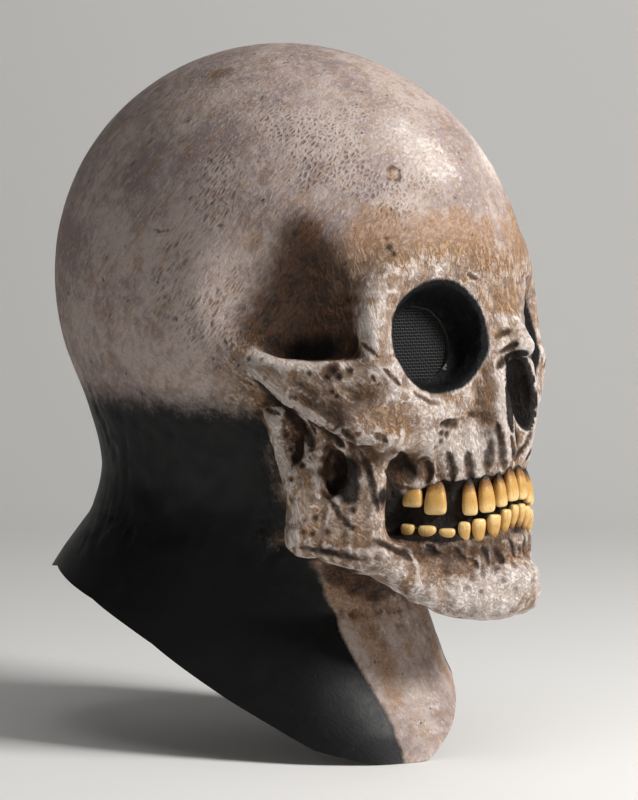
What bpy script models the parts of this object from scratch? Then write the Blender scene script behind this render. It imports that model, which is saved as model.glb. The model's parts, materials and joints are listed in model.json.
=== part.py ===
"""Overhead skull mask: a hollow latex casting of a skull on a neck skirt, two eye screens and its teeth.

The wearer looks towards -Y and +X is the wearer's left. The origin is the inside of the crown, where
the mask sits on a head, and everything hangs below it. Tables are in millimetres, as side (X),
forward (-Y) and height (Z), and the finished meshes are in metres.
"""
import math
from collections import namedtuple

import bmesh
import bpy
import numpy as np
from mathutils import Vector

# Driving sizes, in millimetres
WALL = 2.2                # latex thickness
FORM_STEP = 3.0           # spacing of the grid on which the skull form is skinned
CAVITY_STEP = 4.5         # grid of the smoother inside
FORM_LOW = -357.0         # the raw casting reaches below the cut edge
FORM_HIGH = 9.0
FORM_SIDE = 105.0
FORM_FRONT = 159.0
FORM_BACK = -207.0
SHELL_TRIANGLES = 5300
CAVITY_TRIANGLES = 1500
SEAT_GAP = 0.3            # clearance round each insert
METRE = 0.001

# Named columns
Lump = namedtuple("Lump", "side forward height half_side half_forward half_height")
Bead = namedtuple("Bead", "side forward height radius")
Slab = namedtuple("Slab", "side forward top bottom half_thickness")
Ring = namedtuple("Ring", "height front back half_side")
HemPoint = namedtuple("HemPoint", "forward height")
Tooth = namedtuple("Tooth", "name along width biting_edge root_tip depth")
ToothSection = namedtuple("ToothSection", "share width depth")

# The braincase, pitched so that its back is high, and the hollows at the temples
BRAINCASE = Lump(0, 0.5, -114.5, 92.8, 125.4, 116.2)
BRAINCASE_PITCH = -13.2
TEMPLE_HOLLOWS = [
    Lump(109, 62, -120, 37, 46, 48),
    Lump(87, 71, -142, 17, 24, 23),
]
# Soft masses under the face and inside the jaw
FACE_MASSES = [
    Lump(0, 76, -150, 62, 46, 48),
    Lump(0, 58, -203, 64, 42, 52),
    Lump(0, 72, -200, 50, 33, 46),
]
# The brow runs from the middle round the outer side of the eye socket
BROW = [
    Bead(0, 108, -103, 9.0), Bead(24, 107, -103, 8.0), Bead(43, 101.5, -103, 7.5), Bead(58, 96.5, -109, 7.5),
    Bead(66, 95, -123, 7.5), Bead(67, 96, -137, 7.5), Bead(66, 99, -150, 8.0),
]
# The lower rim of the socket, then up the side of the nose
LOWER_RIM = [
    Bead(63, 99, -160, 8.0), Bead(47, 107.5, -169, 7.5), Bead(32, 113, -169, 7.0), Bead(21, 116.5, -152, 6.0),
    Bead(16, 116, -132, 6.0), Bead(15, 112, -114, 7.0),
]
# Cheek bone and arch, a leaf of bone that stands on its lower edge
CHEEK_ARCH = [
    Slab(81, 30, -141, -151, 4.0), Slab(85.5, 46, -144, -157, 4.5), Slab(84, 58, -146, -166, 6.0),
    Slab(80, 70, -147, -173, 7.0), Slab(73, 84, -147, -181, 8.5), Slab(64, 94, -150, -186, 9.5),
    Slab(53, 101, -160, -180, 8.0),
]
CHEEK_KNOB = Lump(57, 95, -181, 9.5, 9.5, 11)
CHEEK_ROOT = [Bead(57, 97, -181, 7.0), Bead(48, 100, -180, 9.0), Bead(38, 103, -183, 10.0)]
NASAL_BRIDGE = [
    Bead(0, 109, -107, 11.0), Bead(0, 113, -122, 10.0), Bead(0, 125, -134, 8.5), Bead(0, 134.5, -142, 5.5),
]
NASAL_EDGE = [
    Bead(9, 120, -132, 6.5), Bead(12, 126, -150, 6.0), Bead(12.5, 129, -169, 5.5), Bead(10, 126, -188, 6.0),
]
# Upper jaw: half widths of a rounded block whose middle is JAW_MIDDLE forward
JAW_MIDDLE = 84.0
JAW_POWER = 2.1
UPPER_JAW_TOP = (37.5, 43.0)
UPPER_JAW_EDGE = (42.5, 46.5)
UPPER_JAW_HEIGHTS = (-160.0, -201.5)
UPPER_JAW_SLOPE = 0.20
UPPER_JAW_SLOPE_END = -26.0     # the gum line is level further back than this
CANINE_HOLLOW = Lump(31, 128, -181, 10, 8, 12)
GUM_CORE = (38.5, 45.0)
GUM_HEIGHTS = (-250.0, -175.0)
GUM_BACKING = 8.0         # solid latex behind the tooth roots
GUM_BACK_END = 92.0
# Lower jaw: the body, its rounded lower border and the chin
JAW_BODY = [
    Slab(0, 123, -229, -262, 9.0), Slab(16, 119, -229, -262, 9.0), Slab(30, 110, -230, -258, 8.5),
    Slab(41, 99, -232, -251, 8.5), Slab(50, 87, -234, -245, 8.5), Slab(58, 70, -236, -240, 9.0),
]
JAW_BORDER = [
    Bead(0, 127.5, -258, 11.0), Bead(14, 124, -259, 11.0), Bead(29, 113, -257, 10.0), Bead(41, 103, -250.5, 9.5),
    Bead(50, 93, -242, 9.0), Bead(56, 82, -236.5, 8.0), Bead(60, 70, -233, 7.5), Bead(63, 57, -231.5, 8.0),
]
CHIN = Lump(0, 129, -251, 16, 12, 10)
MOUTH_FLOOR = Lump(0, 88, -236, 41, 38, 17)
RAMUS = [
    Slab(69, 57, -170, -234, 6.0), Slab(66, 65, -168, -236, 6.5), Slab(62, 77, -174, -238, 6.5),
    Slab(57, 88, -190, -238, 6.0),
]
RAMUS_EDGE = [Bead(74, 46, -174, 6.0), Bead(72, 51, -193, 6.0), Bead(69.5, 57, -212, 6.5), Bead(68, 57, -230, 8.0)]
RAMUS_HOLLOWS = [Lump(69, 73, -199, 12, 6, 11), Lump(78, 57, -184, 9, 4, 12)]
# Nose opening, one half of it: the wide lower part and the narrow upper part
NOSE_HOLLOWS = [Lump(6.5, 138, -168, 6.5, 18, 13), Lump(5.5, 139, -158, 5.5, 17, 13.5)]
# Eye socket: a flat floor with a round hole, and a wall that opens outwards
SOCKET_CENTRE = (35.5, 99.5, -140.0)
SOCKET_AXIS = (0.36, 0.92, 0.18)
SOCKET_FLOOR_RADIUS = 20.0
SOCKET_FLARE = 0.225
EYE_HOLE_RADIUS = 17.3
SCREEN_RADIUS = 19.4
SCREEN_THICKNESS = 0.8
SCREEN_SEAT_DEPTH = 2.2   # behind the socket's floor
SCREEN_POCKET_RADIUS = 20.3
# Neck skirt, from the cut edge up into the braincase
NECK = [
    Ring(-345, 104, -190, 91), Ring(-325, 96, -176, 89), Ring(-300, 80, -158, 86.5), Ring(-270, 67, -137, 81),
    Ring(-248, 66, -121, 75.5), Ring(-228, 66, -104, 70), Ring(-205, 66, -96, 66), Ring(-180, 60, -92, 60),
    Ring(-150, 50, -80, 45),
]
NECK_TOP = -140.0
HEM = [
    HemPoint(-140, -262), HemPoint(-100, -256), HemPoint(-60, -267), HemPoint(-20, -285),
    HemPoint(20, -308.5), HemPoint(60, -331), HemPoint(82, -338), HemPoint(120, -338),
]
HEM_RISE_START = -22.0    # the front tongue was trimmed higher towards the wearer's left
HEM_RISE = 0.55
HEM_RISE_LIMIT = 30.0
# Teeth stand on an arch; along is the distance from the middle, measured on the arch
ARCH = (44.5, 51.0)
ARCH_POWER = 2.15
UPPER_TEETH = [
    Tooth("upper_1", 4.8, 8.4, -214.4, -197.0, 6.5), Tooth("upper_2", 13.1, 6.6, -216.6, -200.0, 6.5),
    Tooth("upper_3", 21.9, 8.4, -218.8, -200.5, 7.0), Tooth("upper_4", 31.4, 7.6, -219.8, -202.5, 7.0),
    Tooth("upper_5", 39.2, 6.0, -219.8, -203.5, 7.5), Tooth("upper_6", 49.0, 11.0, -220.0, -201.5, 8.5),
    Tooth("upper_7", 60.8, 10.0, -216.8, -202.5, 8.5),
]
LOWER_TEETH = [
    Tooth("lower_1", 3.4, 5.4, -215.9, -230.0, 6.0), Tooth("lower_2", 10.0, 6.0, -217.6, -232.0, 6.0),
    Tooth("lower_3", 17.8, 7.2, -219.6, -234.0, 6.5), Tooth("lower_4", 26.7, 6.8, -221.2, -236.5, 6.5),
    Tooth("lower_5", 34.4, 6.0, -222.4, -237.5, 6.5), Tooth("lower_6", 43.1, 8.0, -225.0, -236.0, 7.5),
    Tooth("lower_7", 53.1, 8.8, -223.8, -236.0, 8.0), Tooth("lower_8", 63.1, 7.0, -223.4, -235.5, 7.5),
]
MISSING_TEETH = {"upper_5_right"}
TOOTH_LEAN = 3.0          # root tips stand this far behind the biting edge
TOOTH_WEDGE = 0.15        # a tooth is wider at its front than at its back
# From the root's tip to the biting edge
TOOTH_SECTIONS = [
    ToothSection(0.00, 0.34, 0.36), ToothSection(0.22, 0.62, 0.66), ToothSection(0.55, 0.94, 0.96),
    ToothSection(0.84, 1.00, 0.90), ToothSection(1.00, 0.80, 0.46),
]
TOOTH_SIDES = 8


def soft_union(a, b, blend):
    """Join two forms with a fillet of about the blend size."""
    near = np.maximum(blend - np.abs(a - b), 0.0) / blend
    return np.minimum(a, b) - near * near * blend * 0.25


def soft_overlap(a, b, blend):
    return -soft_union(-a, -b, blend)


def soft_cut(form, hollow, blend):
    return soft_overlap(form, -hollow, blend)


def lump(place, row, pitch=0.0):
    """Signed distance, near enough, to an egg with the row's three half sizes."""
    side, forward, height = place[0] - row.side, place[1] - row.forward, place[2] - row.height
    if pitch:
        turn = math.radians(pitch)
        forward, height = (math.cos(turn) * forward + math.sin(turn) * height,
                           math.cos(turn) * height - math.sin(turn) * forward)
    near = np.sqrt((side / row.half_side) ** 2 + (forward / row.half_forward) ** 2
                   + (height / row.half_height) ** 2)
    slope = np.sqrt((side / row.half_side ** 2) ** 2 + (forward / row.half_forward ** 2) ** 2
                    + (height / row.half_height ** 2) ** 2)
    return near * (near - 1.0) / np.maximum(slope, 1e-6)


def smooth_rows(rows, pieces=4):
    """More rows on a smooth curve through the given ones."""
    kind = type(rows[0])
    ends = [rows[0]] + list(rows) + [rows[-1]]
    finer = []
    for before, start, end, after in zip(ends, ends[1:], ends[2:], ends[3:]):
        for step in range(pieces):
            t = step / pieces
            weights = (2 * t * t - t - t ** 3, 2 - 5 * t * t + 3 * t ** 3, t + 4 * t * t - 3 * t ** 3, t ** 3 - t * t)
            finer.append(kind(*[0.5 * sum(weight * value for weight, value in zip(weights, values))
                                for values in zip(before, start, end, after)]))
    return finer + [rows[-1]]


def rope(place, beads):
    """A rounded bone that runs through beads of changing radius."""
    beads = smooth_rows(beads)
    form = None
    for start, end in zip(beads, beads[1:]):
        run = np.array(end[:3]) - np.array(start[:3])
        away = [place[axis] - start[axis] for axis in range(3)]
        share = np.clip(sum(a * r for a, r in zip(away, run)) / (run @ run), 0.0, 1.0)
        gap = np.sqrt(sum((a - share * r) ** 2 for a, r in zip(away, run)))
        piece = gap - (start.radius + (end.radius - start.radius) * share)
        form = piece if form is None else np.minimum(form, piece)
    return form


def wall(place, rows, rounding):
    """An upright wall on a path, with its own top, bottom and thickness at each row."""
    rows = smooth_rows(rows)
    nearest = None
    for start, end in zip(rows, rows[1:]):
        run = (end.side - start.side, end.forward - start.forward)
        away = (place[0] - start.side, place[1] - start.forward)
        share = np.clip((away[0] * run[0] + away[1] * run[1]) / (run[0] ** 2 + run[1] ** 2), 0.0, 1.0)
        gap = np.sqrt((away[0] - share * run[0]) ** 2 + (away[1] - share * run[1]) ** 2)
        top, bottom, thick = (start[i] + (end[i] - start[i]) * share for i in (2, 3, 4))
        across = gap - thick + rounding
        upright = np.abs(place[2] - 0.5 * (top + bottom)) - 0.5 * (top - bottom) + rounding
        piece = (np.hypot(np.maximum(across, 0.0), np.maximum(upright, 0.0))
                 + np.minimum(np.maximum(across, upright), 0.0) - rounding)
        nearest = piece if nearest is None else np.minimum(nearest, piece)
    return nearest


def rounded_oval(side, forward, half_side, half_forward, power):
    """Distance from an oval that is squarer than an ellipse when the power is over 2."""
    size = ((np.abs(side) / half_side) ** power + (np.abs(forward) / half_forward) ** power) ** (1.0 / power)
    reach = np.hypot(side, forward) + 1e-6
    return (size - 1.0) * reach / np.maximum(size, 1e-6)


def neck_form(place):
    rings = np.array(NECK)
    front, back, half_side = (np.interp(place[2], rings[:, 0], rings[:, column]) for column in (1, 2, 3))
    middle, half_forward = 0.5 * (front + back), 0.5 * (front - back)
    return np.maximum(0.9 * rounded_oval(place[0], place[1] - middle, half_side, half_forward, 2.1),
                      place[2] - NECK_TOP)


def gum_oval(place):
    return rounded_oval(place[0], place[1] - JAW_MIDDLE, *GUM_CORE, JAW_POWER)


def upper_jaw_form(place):
    """The rounded block that carries the upper teeth, narrower at its top."""
    behind = np.maximum(place[1] - JAW_MIDDLE - UPPER_JAW_EDGE[1], UPPER_JAW_SLOPE_END)
    level = place[2] - behind * UPPER_JAW_SLOPE
    share = np.clip((level - UPPER_JAW_HEIGHTS[1]) / (UPPER_JAW_HEIGHTS[0] - UPPER_JAW_HEIGHTS[1]), 0.0, 1.0)
    half_side, half_forward = (edge + (top - edge) * share ** 2
                               for top, edge in zip(UPPER_JAW_TOP, UPPER_JAW_EDGE))
    form = rounded_oval(place[0], place[1] - JAW_MIDDLE, half_side, half_forward, JAW_POWER)
    form = soft_overlap(form, UPPER_JAW_HEIGHTS[1] - level, 4.0)
    return soft_overlap(form, level - UPPER_JAW_HEIGHTS[0], 8.0)


def socket_places(place):
    """Depth along the socket's axis and distance from it."""
    axis = np.array(SOCKET_AXIS) / np.linalg.norm(SOCKET_AXIS)
    away = [place[i] - SOCKET_CENTRE[i] for i in range(3)]
    depth = sum(a * x for a, x in zip(away, axis))
    reach = np.sqrt(np.maximum(sum(a * a for a in away) - depth ** 2, 0.0))
    return depth, reach


def eye_socket(place):
    depth, reach = socket_places(place)
    wall_radius = SOCKET_FLOOR_RADIUS + SOCKET_FLARE * np.clip(depth, -2.0, 40.0)
    return soft_overlap(reach - wall_radius, -depth, 4.0)


def nose_opening(place):
    lower, upper = (lump(place, row) for row in NOSE_HOLLOWS)
    return soft_union(lower, upper, 5.0)


def skull_form(place):
    """Signed distance, near enough, to the outside of the casting; place holds positive sides only."""
    form = lump(place, BRAINCASE, BRAINCASE_PITCH)
    form = soft_cut(form, lump(place, TEMPLE_HOLLOWS[0]), 12.0)
    form = soft_cut(form, lump(place, TEMPLE_HOLLOWS[1]), 10.0)
    form = soft_union(form, neck_form(place), 26.0)
    for mass in FACE_MASSES:
        form = soft_union(form, lump(place, mass), 11.0)
    form = soft_union(form, rope(place, BROW), 11.0)
    form = soft_union(form, wall(place, CHEEK_ARCH, 5.0), 10.0)
    form = soft_union(form, lump(place, CHEEK_KNOB), 6.0)
    form = soft_union(form, rope(place, LOWER_RIM), 9.0)
    form = soft_union(form, rope(place, NASAL_BRIDGE), 8.0)
    form = soft_union(form, rope(place, NASAL_EDGE), 7.0)
    form = soft_union(form, upper_jaw_form(place), 11.0)
    form = soft_union(form, rope(place, CHEEK_ROOT), 6.0)
    form = soft_cut(form, lump(place, CANINE_HOLLOW), 8.0)
    gum = np.maximum(gum_oval(place), np.maximum(GUM_HEIGHTS[0] - place[2], place[2] - GUM_HEIGHTS[1]))
    form = soft_union(form, gum, 2.0)
    form = soft_union(form, wall(place, JAW_BODY, 4.0), 5.0)
    form = soft_union(form, rope(place, JAW_BORDER), 6.0)
    form = soft_union(form, lump(place, CHIN), 5.0)
    form = soft_union(form, lump(place, MOUTH_FLOOR), 12.0)
    form = soft_union(form, wall(place, RAMUS, 5.0), 8.0)
    form = soft_union(form, rope(place, RAMUS_EDGE), 5.0)
    for hollow in RAMUS_HOLLOWS:
        form = soft_cut(form, lump(place, hollow), 4.5)
    form = soft_cut(form, eye_socket(place), 3.0)
    return soft_cut(form, nose_opening(place), 2.0)


def blurred(values, rounds):
    """Average each grid value with its neighbours, a few times over."""
    for _ in range(rounds):
        for axis in range(3):
            ahead = np.concatenate([np.take(values, range(1, values.shape[axis]), axis),
                                    np.take(values, [-1], axis)], axis)
            behind = np.concatenate([np.take(values, [0], axis),
                                     np.take(values, range(values.shape[axis] - 1), axis)], axis)
            values = 0.5 * values + 0.25 * (ahead + behind)
    return values


def form_grid():
    """The skull form and the head cavity inside it, sampled on a grid that is mirrored left to right."""
    sides = np.arange(0.0, FORM_SIDE, FORM_STEP)
    forwards = np.arange(FORM_BACK, FORM_FRONT, FORM_STEP)
    heights = np.arange(FORM_LOW, FORM_HIGH, FORM_STEP)
    place = np.meshgrid(sides, forwards, heights, indexing="ij")
    outside = blurred(np.maximum(skull_form(place), FORM_LOW + FORM_STEP - place[2]), 1)
    gum_block = np.maximum(np.maximum(-gum_oval(place) - GUM_BACKING, GUM_BACK_END - place[1]),
                           np.maximum(GUM_HEIGHTS[0] - place[2], place[2] - GUM_HEIGHTS[1]))
    inside = np.maximum(outside + WALL, soft_overlap(outside + WALL, -gum_block, 4.0))
    outside, inside = (np.concatenate([grid[:0:-1], grid]) for grid in (outside, inside))
    inside = np.maximum(inside, blurred(np.maximum(inside, blurred(inside, 4)), 2))
    corner = (-sides[-1], forwards[0], heights[0])
    return outside, inside, corner


def skin(values, corner, step):
    """Wrap the grid's negative region in quads, one corner to each cell that the surface crosses."""
    solid = values < 0.0
    cells = tuple(count - 1 for count in values.shape)
    total = np.zeros(cells + (3,))
    hits = np.zeros(cells)
    crossings = []
    for axis in range(3):
        low = tuple(slice(0, -1) if i == axis else slice(None) for i in range(3))
        high = tuple(slice(1, None) if i == axis else slice(None) for i in range(3))
        crossed = solid[low] != solid[high]
        index = np.argwhere(crossed)
        share = values[low][crossed] / (values[low][crossed] - values[high][crossed])
        crossings.append((index, solid[low][crossed]))
        first, second = [i for i in range(3) if i != axis]
        for step_1, step_2 in ((0, 0), (-1, 0), (0, -1), (-1, -1)):
            cell = index.copy()
            cell[:, first] += step_1
            cell[:, second] += step_2
            point = index.astype(float)
            point[:, axis] += share
            np.add.at(hits, tuple(cell.T), 1)
            np.add.at(total, tuple(cell.T), point)
    used = hits > 0
    names = np.full(cells, -1)
    names[used] = np.arange(used.sum())
    corners = total[used] / hits[used][:, None] * step + np.array(corner)
    quads = []
    for axis, (index, starts_solid) in enumerate(crossings):
        first, second = ((1, 2), (2, 0), (0, 1))[axis]
        round_edge = []
        for step_1, step_2 in ((0, 0), (-1, 0), (-1, -1), (0, -1)):
            cell = index.copy()
            cell[:, first] += step_1
            cell[:, second] += step_2
            round_edge.append(names[tuple(cell.T)])
        ring = np.stack(round_edge, axis=1)
        ring[~starts_solid] = ring[~starts_solid][:, ::-1]
        quads.append(ring)
    return corners, np.concatenate(quads)


def world(point):
    """Side, forward and height in millimetres to X, Y and Z in metres."""
    return (point[0] * METRE, -point[1] * METRE, point[2] * METRE)


def add_object(name, mesh, collection, material=None):
    piece = bpy.data.objects.new(name, mesh)
    collection.objects.link(piece)
    if material:
        mesh.materials.append(material)
    return piece


def mesh_from(name, corners, faces):
    """A mesh from side, forward and height rows; the forward axis turns round, so faces turn too."""
    mesh = bpy.data.meshes.new(name)
    mesh.from_pydata([world(row) for row in corners], [], [tuple(face)[::-1] for face in faces])
    mesh.validate()
    return mesh


def add_cutter(name, mesh, cutters):
    cutter = add_object(name, mesh, cutters)
    cutter.hide_render = True
    cutter.display_type = "WIRE"
    return cutter


def decimate(piece, triangles):
    """Thin a dense skin to about the number of triangles that its form needs."""
    seen = piece.evaluated_get(bpy.context.evaluated_depsgraph_get())
    full = sum(len(face.vertices) - 2 for face in seen.data.polygons)
    thinner = piece.modifiers.new("thin out", "DECIMATE")
    thinner.ratio = min(1.0, triangles / full)


def subtract(piece, name, cutter=None, collection=None):
    cut = piece.modifiers.new(name, "BOOLEAN")
    cut.operation = "DIFFERENCE"
    cut.solver = "EXACT"
    if collection:
        cut.operand_type = "COLLECTION"
        cut.collection = collection
    else:
        cut.object = cutter
    return cut


def finish(name, colour, roughness, metallic=0.0):
    material = bpy.data.materials.new(name)
    material.use_nodes = True
    shader = material.node_tree.nodes["Principled BSDF"]
    shader.inputs["Base Color"].default_value = (*colour, 1.0)
    shader.inputs["Roughness"].default_value = roughness
    shader.inputs["Metallic"].default_value = metallic
    material.diffuse_color = (*colour, 1.0)
    return material


def hem_height(side, forward):
    table = np.array(HEM)
    rise = HEM_RISE * (side - HEM_RISE_START) * min(max((forward - 20.0) / 60.0, 0.0), 1.0)
    return float(np.interp(forward, table[:, 0], table[:, 1])) + min(max(rise, 0.0), HEM_RISE_LIMIT)


def hem_cutter(cutters):
    """Everything below the trimmed edge: a sheet that follows the edge, drawn down past the casting."""
    reach = 240.0
    sheet = bmesh.new()
    bmesh.ops.create_grid(sheet, x_segments=24, y_segments=24, size=reach)
    for corner in sheet.verts:
        side, forward = corner.co.x, -corner.co.y
        corner.co = world((side, forward, hem_height(side, forward)))
    bottom = bmesh.ops.extrude_face_region(sheet, geom=sheet.faces[:])
    for item in bottom["geom"]:
        if isinstance(item, bmesh.types.BMVert):
            item.co.z = (FORM_LOW - 30.0) * METRE
    bmesh.ops.recalc_face_normals(sheet, faces=sheet.faces[:])
    mesh = bpy.data.meshes.new("below_hem")
    sheet.to_mesh(mesh)
    sheet.free()
    return add_cutter("below_hem", mesh, cutters)


def socket_frame(side_sign):
    """Centre and axis of an eye socket in world coordinates."""
    centre = world((side_sign * SOCKET_CENTRE[0], *SOCKET_CENTRE[1:]))
    axis = np.array((side_sign * SOCKET_AXIS[0], -SOCKET_AXIS[1], SOCKET_AXIS[2]))
    return np.array(centre), axis / np.linalg.norm(axis)


def disc(name, centre, axis, radius, start, end, sides):
    """A round plate square to an axis, from one depth to another along it, in millimetres."""
    plate = bmesh.new()
    bmesh.ops.create_cone(plate, cap_ends=True, segments=sides, radius1=radius * METRE, radius2=radius * METRE,
                          depth=abs(end - start) * METRE)
    mesh = bpy.data.meshes.new(name)
    plate.to_mesh(mesh)
    plate.free()
    turn = Vector(axis).to_track_quat("Z", "Y").to_matrix().to_4x4()
    turn.translation = Vector(centre) + Vector(axis) * 0.5 * (start + end) * METRE
    mesh.transform(turn)
    return mesh


def arch_point(along):
    """Place and outward direction on the dental arch at a distance from the middle."""
    turns = np.linspace(0.0, 2.2, 1200)
    sides = ARCH[0] * np.abs(np.sin(turns)) ** (2.0 / ARCH_POWER)
    forwards = ARCH[1] * np.sign(np.cos(turns)) * np.abs(np.cos(turns)) ** (2.0 / ARCH_POWER)
    lengths = np.concatenate([[0.0], np.cumsum(np.hypot(np.diff(sides), np.diff(forwards)))])
    step = 0.5
    side, ahead = np.interp(along, lengths, sides), np.interp(along + step, lengths, sides)
    forward, beyond = np.interp(along, lengths, forwards), np.interp(along + step, lengths, forwards)
    run = np.array((ahead - side, beyond - forward))
    run /= np.linalg.norm(run)
    return np.array((side, JAW_MIDDLE + forward)), np.array((-run[1], run[0]))


def tooth_mesh(name, tooth, side_sign, grow=0.0):
    """Loft rounded sections from the root's tip to the biting edge; grow swells it into a socket cutter."""
    place, outward = arch_point(tooth.along)
    tangent = np.array((outward[1], -outward[0]))
    length = tooth.biting_edge - tooth.root_tip
    direction = math.copysign(1.0, length)
    rings = []
    for row in TOOTH_SECTIONS:
        height = tooth.root_tip + row.share * length
        if row.share in (0.0, 1.0):
            height += direction * grow * (1.0 if row.share else -1.0)
        half_width = 0.5 * tooth.width * row.width + grow
        half_depth = 0.5 * tooth.depth * row.depth + grow
        middle = place - outward * (0.5 * tooth.depth + TOOTH_LEAN * (1.0 - row.share))
        ring = []
        for corner in range(TOOTH_SIDES):
            turn = 2.0 * math.pi * (corner + 0.5) / TOOTH_SIDES
            across = half_width * math.copysign(abs(math.cos(turn)) ** 0.8, math.cos(turn))
            across *= 1.0 + TOOTH_WEDGE * math.sin(turn)
            deep = half_depth * math.copysign(abs(math.sin(turn)) ** 0.8, math.sin(turn))
            spot = middle + tangent * across + outward * deep
            ring.append((side_sign * spot[0], spot[1], height))
        rings.append(ring)
    loft = bmesh.new()
    loops = [[loft.verts.new(world(corner)) for corner in ring] for ring in rings]
    for lower, upper in zip(loops, loops[1:]):
        for i in range(TOOTH_SIDES):
            j = (i + 1) % TOOTH_SIDES
            loft.faces.new((lower[i], lower[j], upper[j], upper[i]))
    loft.faces.new(loops[0][::-1])
    loft.faces.new(loops[-1])
    bmesh.ops.recalc_face_normals(loft, faces=loft.faces[:])
    mesh = bpy.data.meshes.new(name)
    loft.to_mesh(mesh)
    loft.free()
    mesh.shade_smooth()
    return mesh


def build():
    for old in list(bpy.data.objects):
        bpy.data.objects.remove(old, do_unlink=True)
    mask = bpy.data.collections.new("skull_mask")
    cutters = bpy.data.collections.new("cutters")
    sockets = bpy.data.collections.new("tooth_sockets")
    for collection in (mask, cutters, sockets):
        bpy.context.scene.collection.children.link(collection)
    bone = finish("painted latex bone", (0.60, 0.50, 0.42), 0.62)
    gauze = finish("black eye gauze", (0.03, 0.03, 0.03), 0.80)
    enamel = finish("yellowed tooth enamel", (0.72, 0.52, 0.22), 0.25)

    outside, inside, corner = form_grid()
    shell = add_object("latex_shell", mesh_from("latex_shell", *skin(outside, corner, FORM_STEP)), mask, bone)
    cavity = add_cutter("head_cavity", mesh_from("head_cavity", *skin(inside, corner, FORM_STEP)), cutters)
    decimate(shell, SHELL_TRIANGLES)
    fuse = cavity.modifiers.new("close narrow gaps", "REMESH")
    fuse.mode = "VOXEL"
    fuse.voxel_size = CAVITY_STEP * METRE
    decimate(cavity, CAVITY_TRIANGLES)
    subtract(shell, "hollow out", cavity)

    for side_name, side_sign in (("left", 1.0), ("right", -1.0)):
        centre, axis = socket_frame(side_sign)
        hole = disc("eye_hole", centre, axis, EYE_HOLE_RADIUS, -12.0, 12.0, 32)
        pocket = disc("screen_pocket", centre, axis, SCREEN_POCKET_RADIUS, -14.0, -SCREEN_SEAT_DEPTH, 32)
        subtract(shell, "eye hole " + side_name, add_cutter("eye_hole_" + side_name, hole, cutters))
        subtract(shell, "pocket " + side_name, add_cutter("screen_pocket_" + side_name, pocket, cutters))
        screen_front = -SCREEN_SEAT_DEPTH - SEAT_GAP
        screen = disc("eye_screen", centre, axis, SCREEN_RADIUS, screen_front - SCREEN_THICKNESS, screen_front, 32)
        add_object("eye_screen_" + side_name, screen, mask, gauze)
        for tooth in UPPER_TEETH + LOWER_TEETH:
            name = tooth.name + "_" + side_name
            if name in MISSING_TEETH:
                continue
            add_object("tooth_" + name, tooth_mesh(name, tooth, side_sign), mask, enamel)
            socket = tooth_mesh("socket_" + name, tooth, side_sign, grow=SEAT_GAP)
            add_cutter("socket_" + name, socket, sockets)
    subtract(shell, "tooth sockets", collection=sockets)
    subtract(shell, "trim the hem", hem_cutter(cutters))


build()
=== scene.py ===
# %% [markdown]
# # An overhead skull mask
# This scene dresses a hollow latex casting of a skull: braincase, face and lower jaw in one skin on a long
# black neck skirt, with two woven eye screens and yellowed teeth set into the gums. The CAD part gives the
# form and the size. Here the form is cast again in a finer mesh, carved, painted and lit.

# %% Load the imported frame
import json
import math
from collections import namedtuple

import bmesh
import bpy
import numpy as np
from mathutils import Matrix, Vector
from mathutils.bvhtree import BVHTree

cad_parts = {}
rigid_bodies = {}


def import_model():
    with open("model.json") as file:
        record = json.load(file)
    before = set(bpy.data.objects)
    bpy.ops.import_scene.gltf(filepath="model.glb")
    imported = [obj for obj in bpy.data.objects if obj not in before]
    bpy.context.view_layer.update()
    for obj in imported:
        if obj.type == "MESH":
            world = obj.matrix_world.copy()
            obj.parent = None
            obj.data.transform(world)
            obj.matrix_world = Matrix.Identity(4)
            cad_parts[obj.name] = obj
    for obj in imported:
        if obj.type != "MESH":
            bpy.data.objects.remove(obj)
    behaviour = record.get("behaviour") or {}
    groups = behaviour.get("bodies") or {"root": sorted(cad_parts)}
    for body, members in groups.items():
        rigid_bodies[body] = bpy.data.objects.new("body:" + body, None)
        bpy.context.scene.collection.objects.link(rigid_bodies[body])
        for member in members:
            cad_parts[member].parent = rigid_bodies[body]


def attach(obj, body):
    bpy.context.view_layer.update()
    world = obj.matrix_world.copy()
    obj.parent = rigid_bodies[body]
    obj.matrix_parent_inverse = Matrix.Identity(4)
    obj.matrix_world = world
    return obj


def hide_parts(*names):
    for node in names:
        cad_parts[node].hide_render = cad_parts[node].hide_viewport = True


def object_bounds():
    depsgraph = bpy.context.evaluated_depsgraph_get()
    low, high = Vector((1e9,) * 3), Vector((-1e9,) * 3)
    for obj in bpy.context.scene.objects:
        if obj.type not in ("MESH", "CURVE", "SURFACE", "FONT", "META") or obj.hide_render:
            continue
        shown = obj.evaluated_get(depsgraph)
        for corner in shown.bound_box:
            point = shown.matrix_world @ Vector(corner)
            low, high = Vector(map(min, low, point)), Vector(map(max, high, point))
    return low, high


for leftover in list(bpy.data.objects):
    bpy.data.objects.remove(leftover, do_unlink=True)
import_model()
cad_box = [list(corner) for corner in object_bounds()]
print("CAD box in metres:", cad_box)

# %% [markdown]
# ## The camera comes first
# Surface marks are placed where the photograph shows them, by a ray from the camera through a pixel, so the
# camera is fixed before anything is carved. It stands to the right of the face, a little above its middle,
# and far away, which is why the skull shows almost no perspective. All lengths here are in millimetres.

# %% The camera
MM = 0.001
PICTURE = (638, 800)
AZIMUTH = math.radians(-56.0)
ELEVATION = math.radians(4.0)
CAMERA_DISTANCE = 1500.0
CAMERA_TARGET = np.array((0.0, -19.7, -171.6))
FOCAL_PIXELS = 3075.0
SENSOR = 36.0

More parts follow.
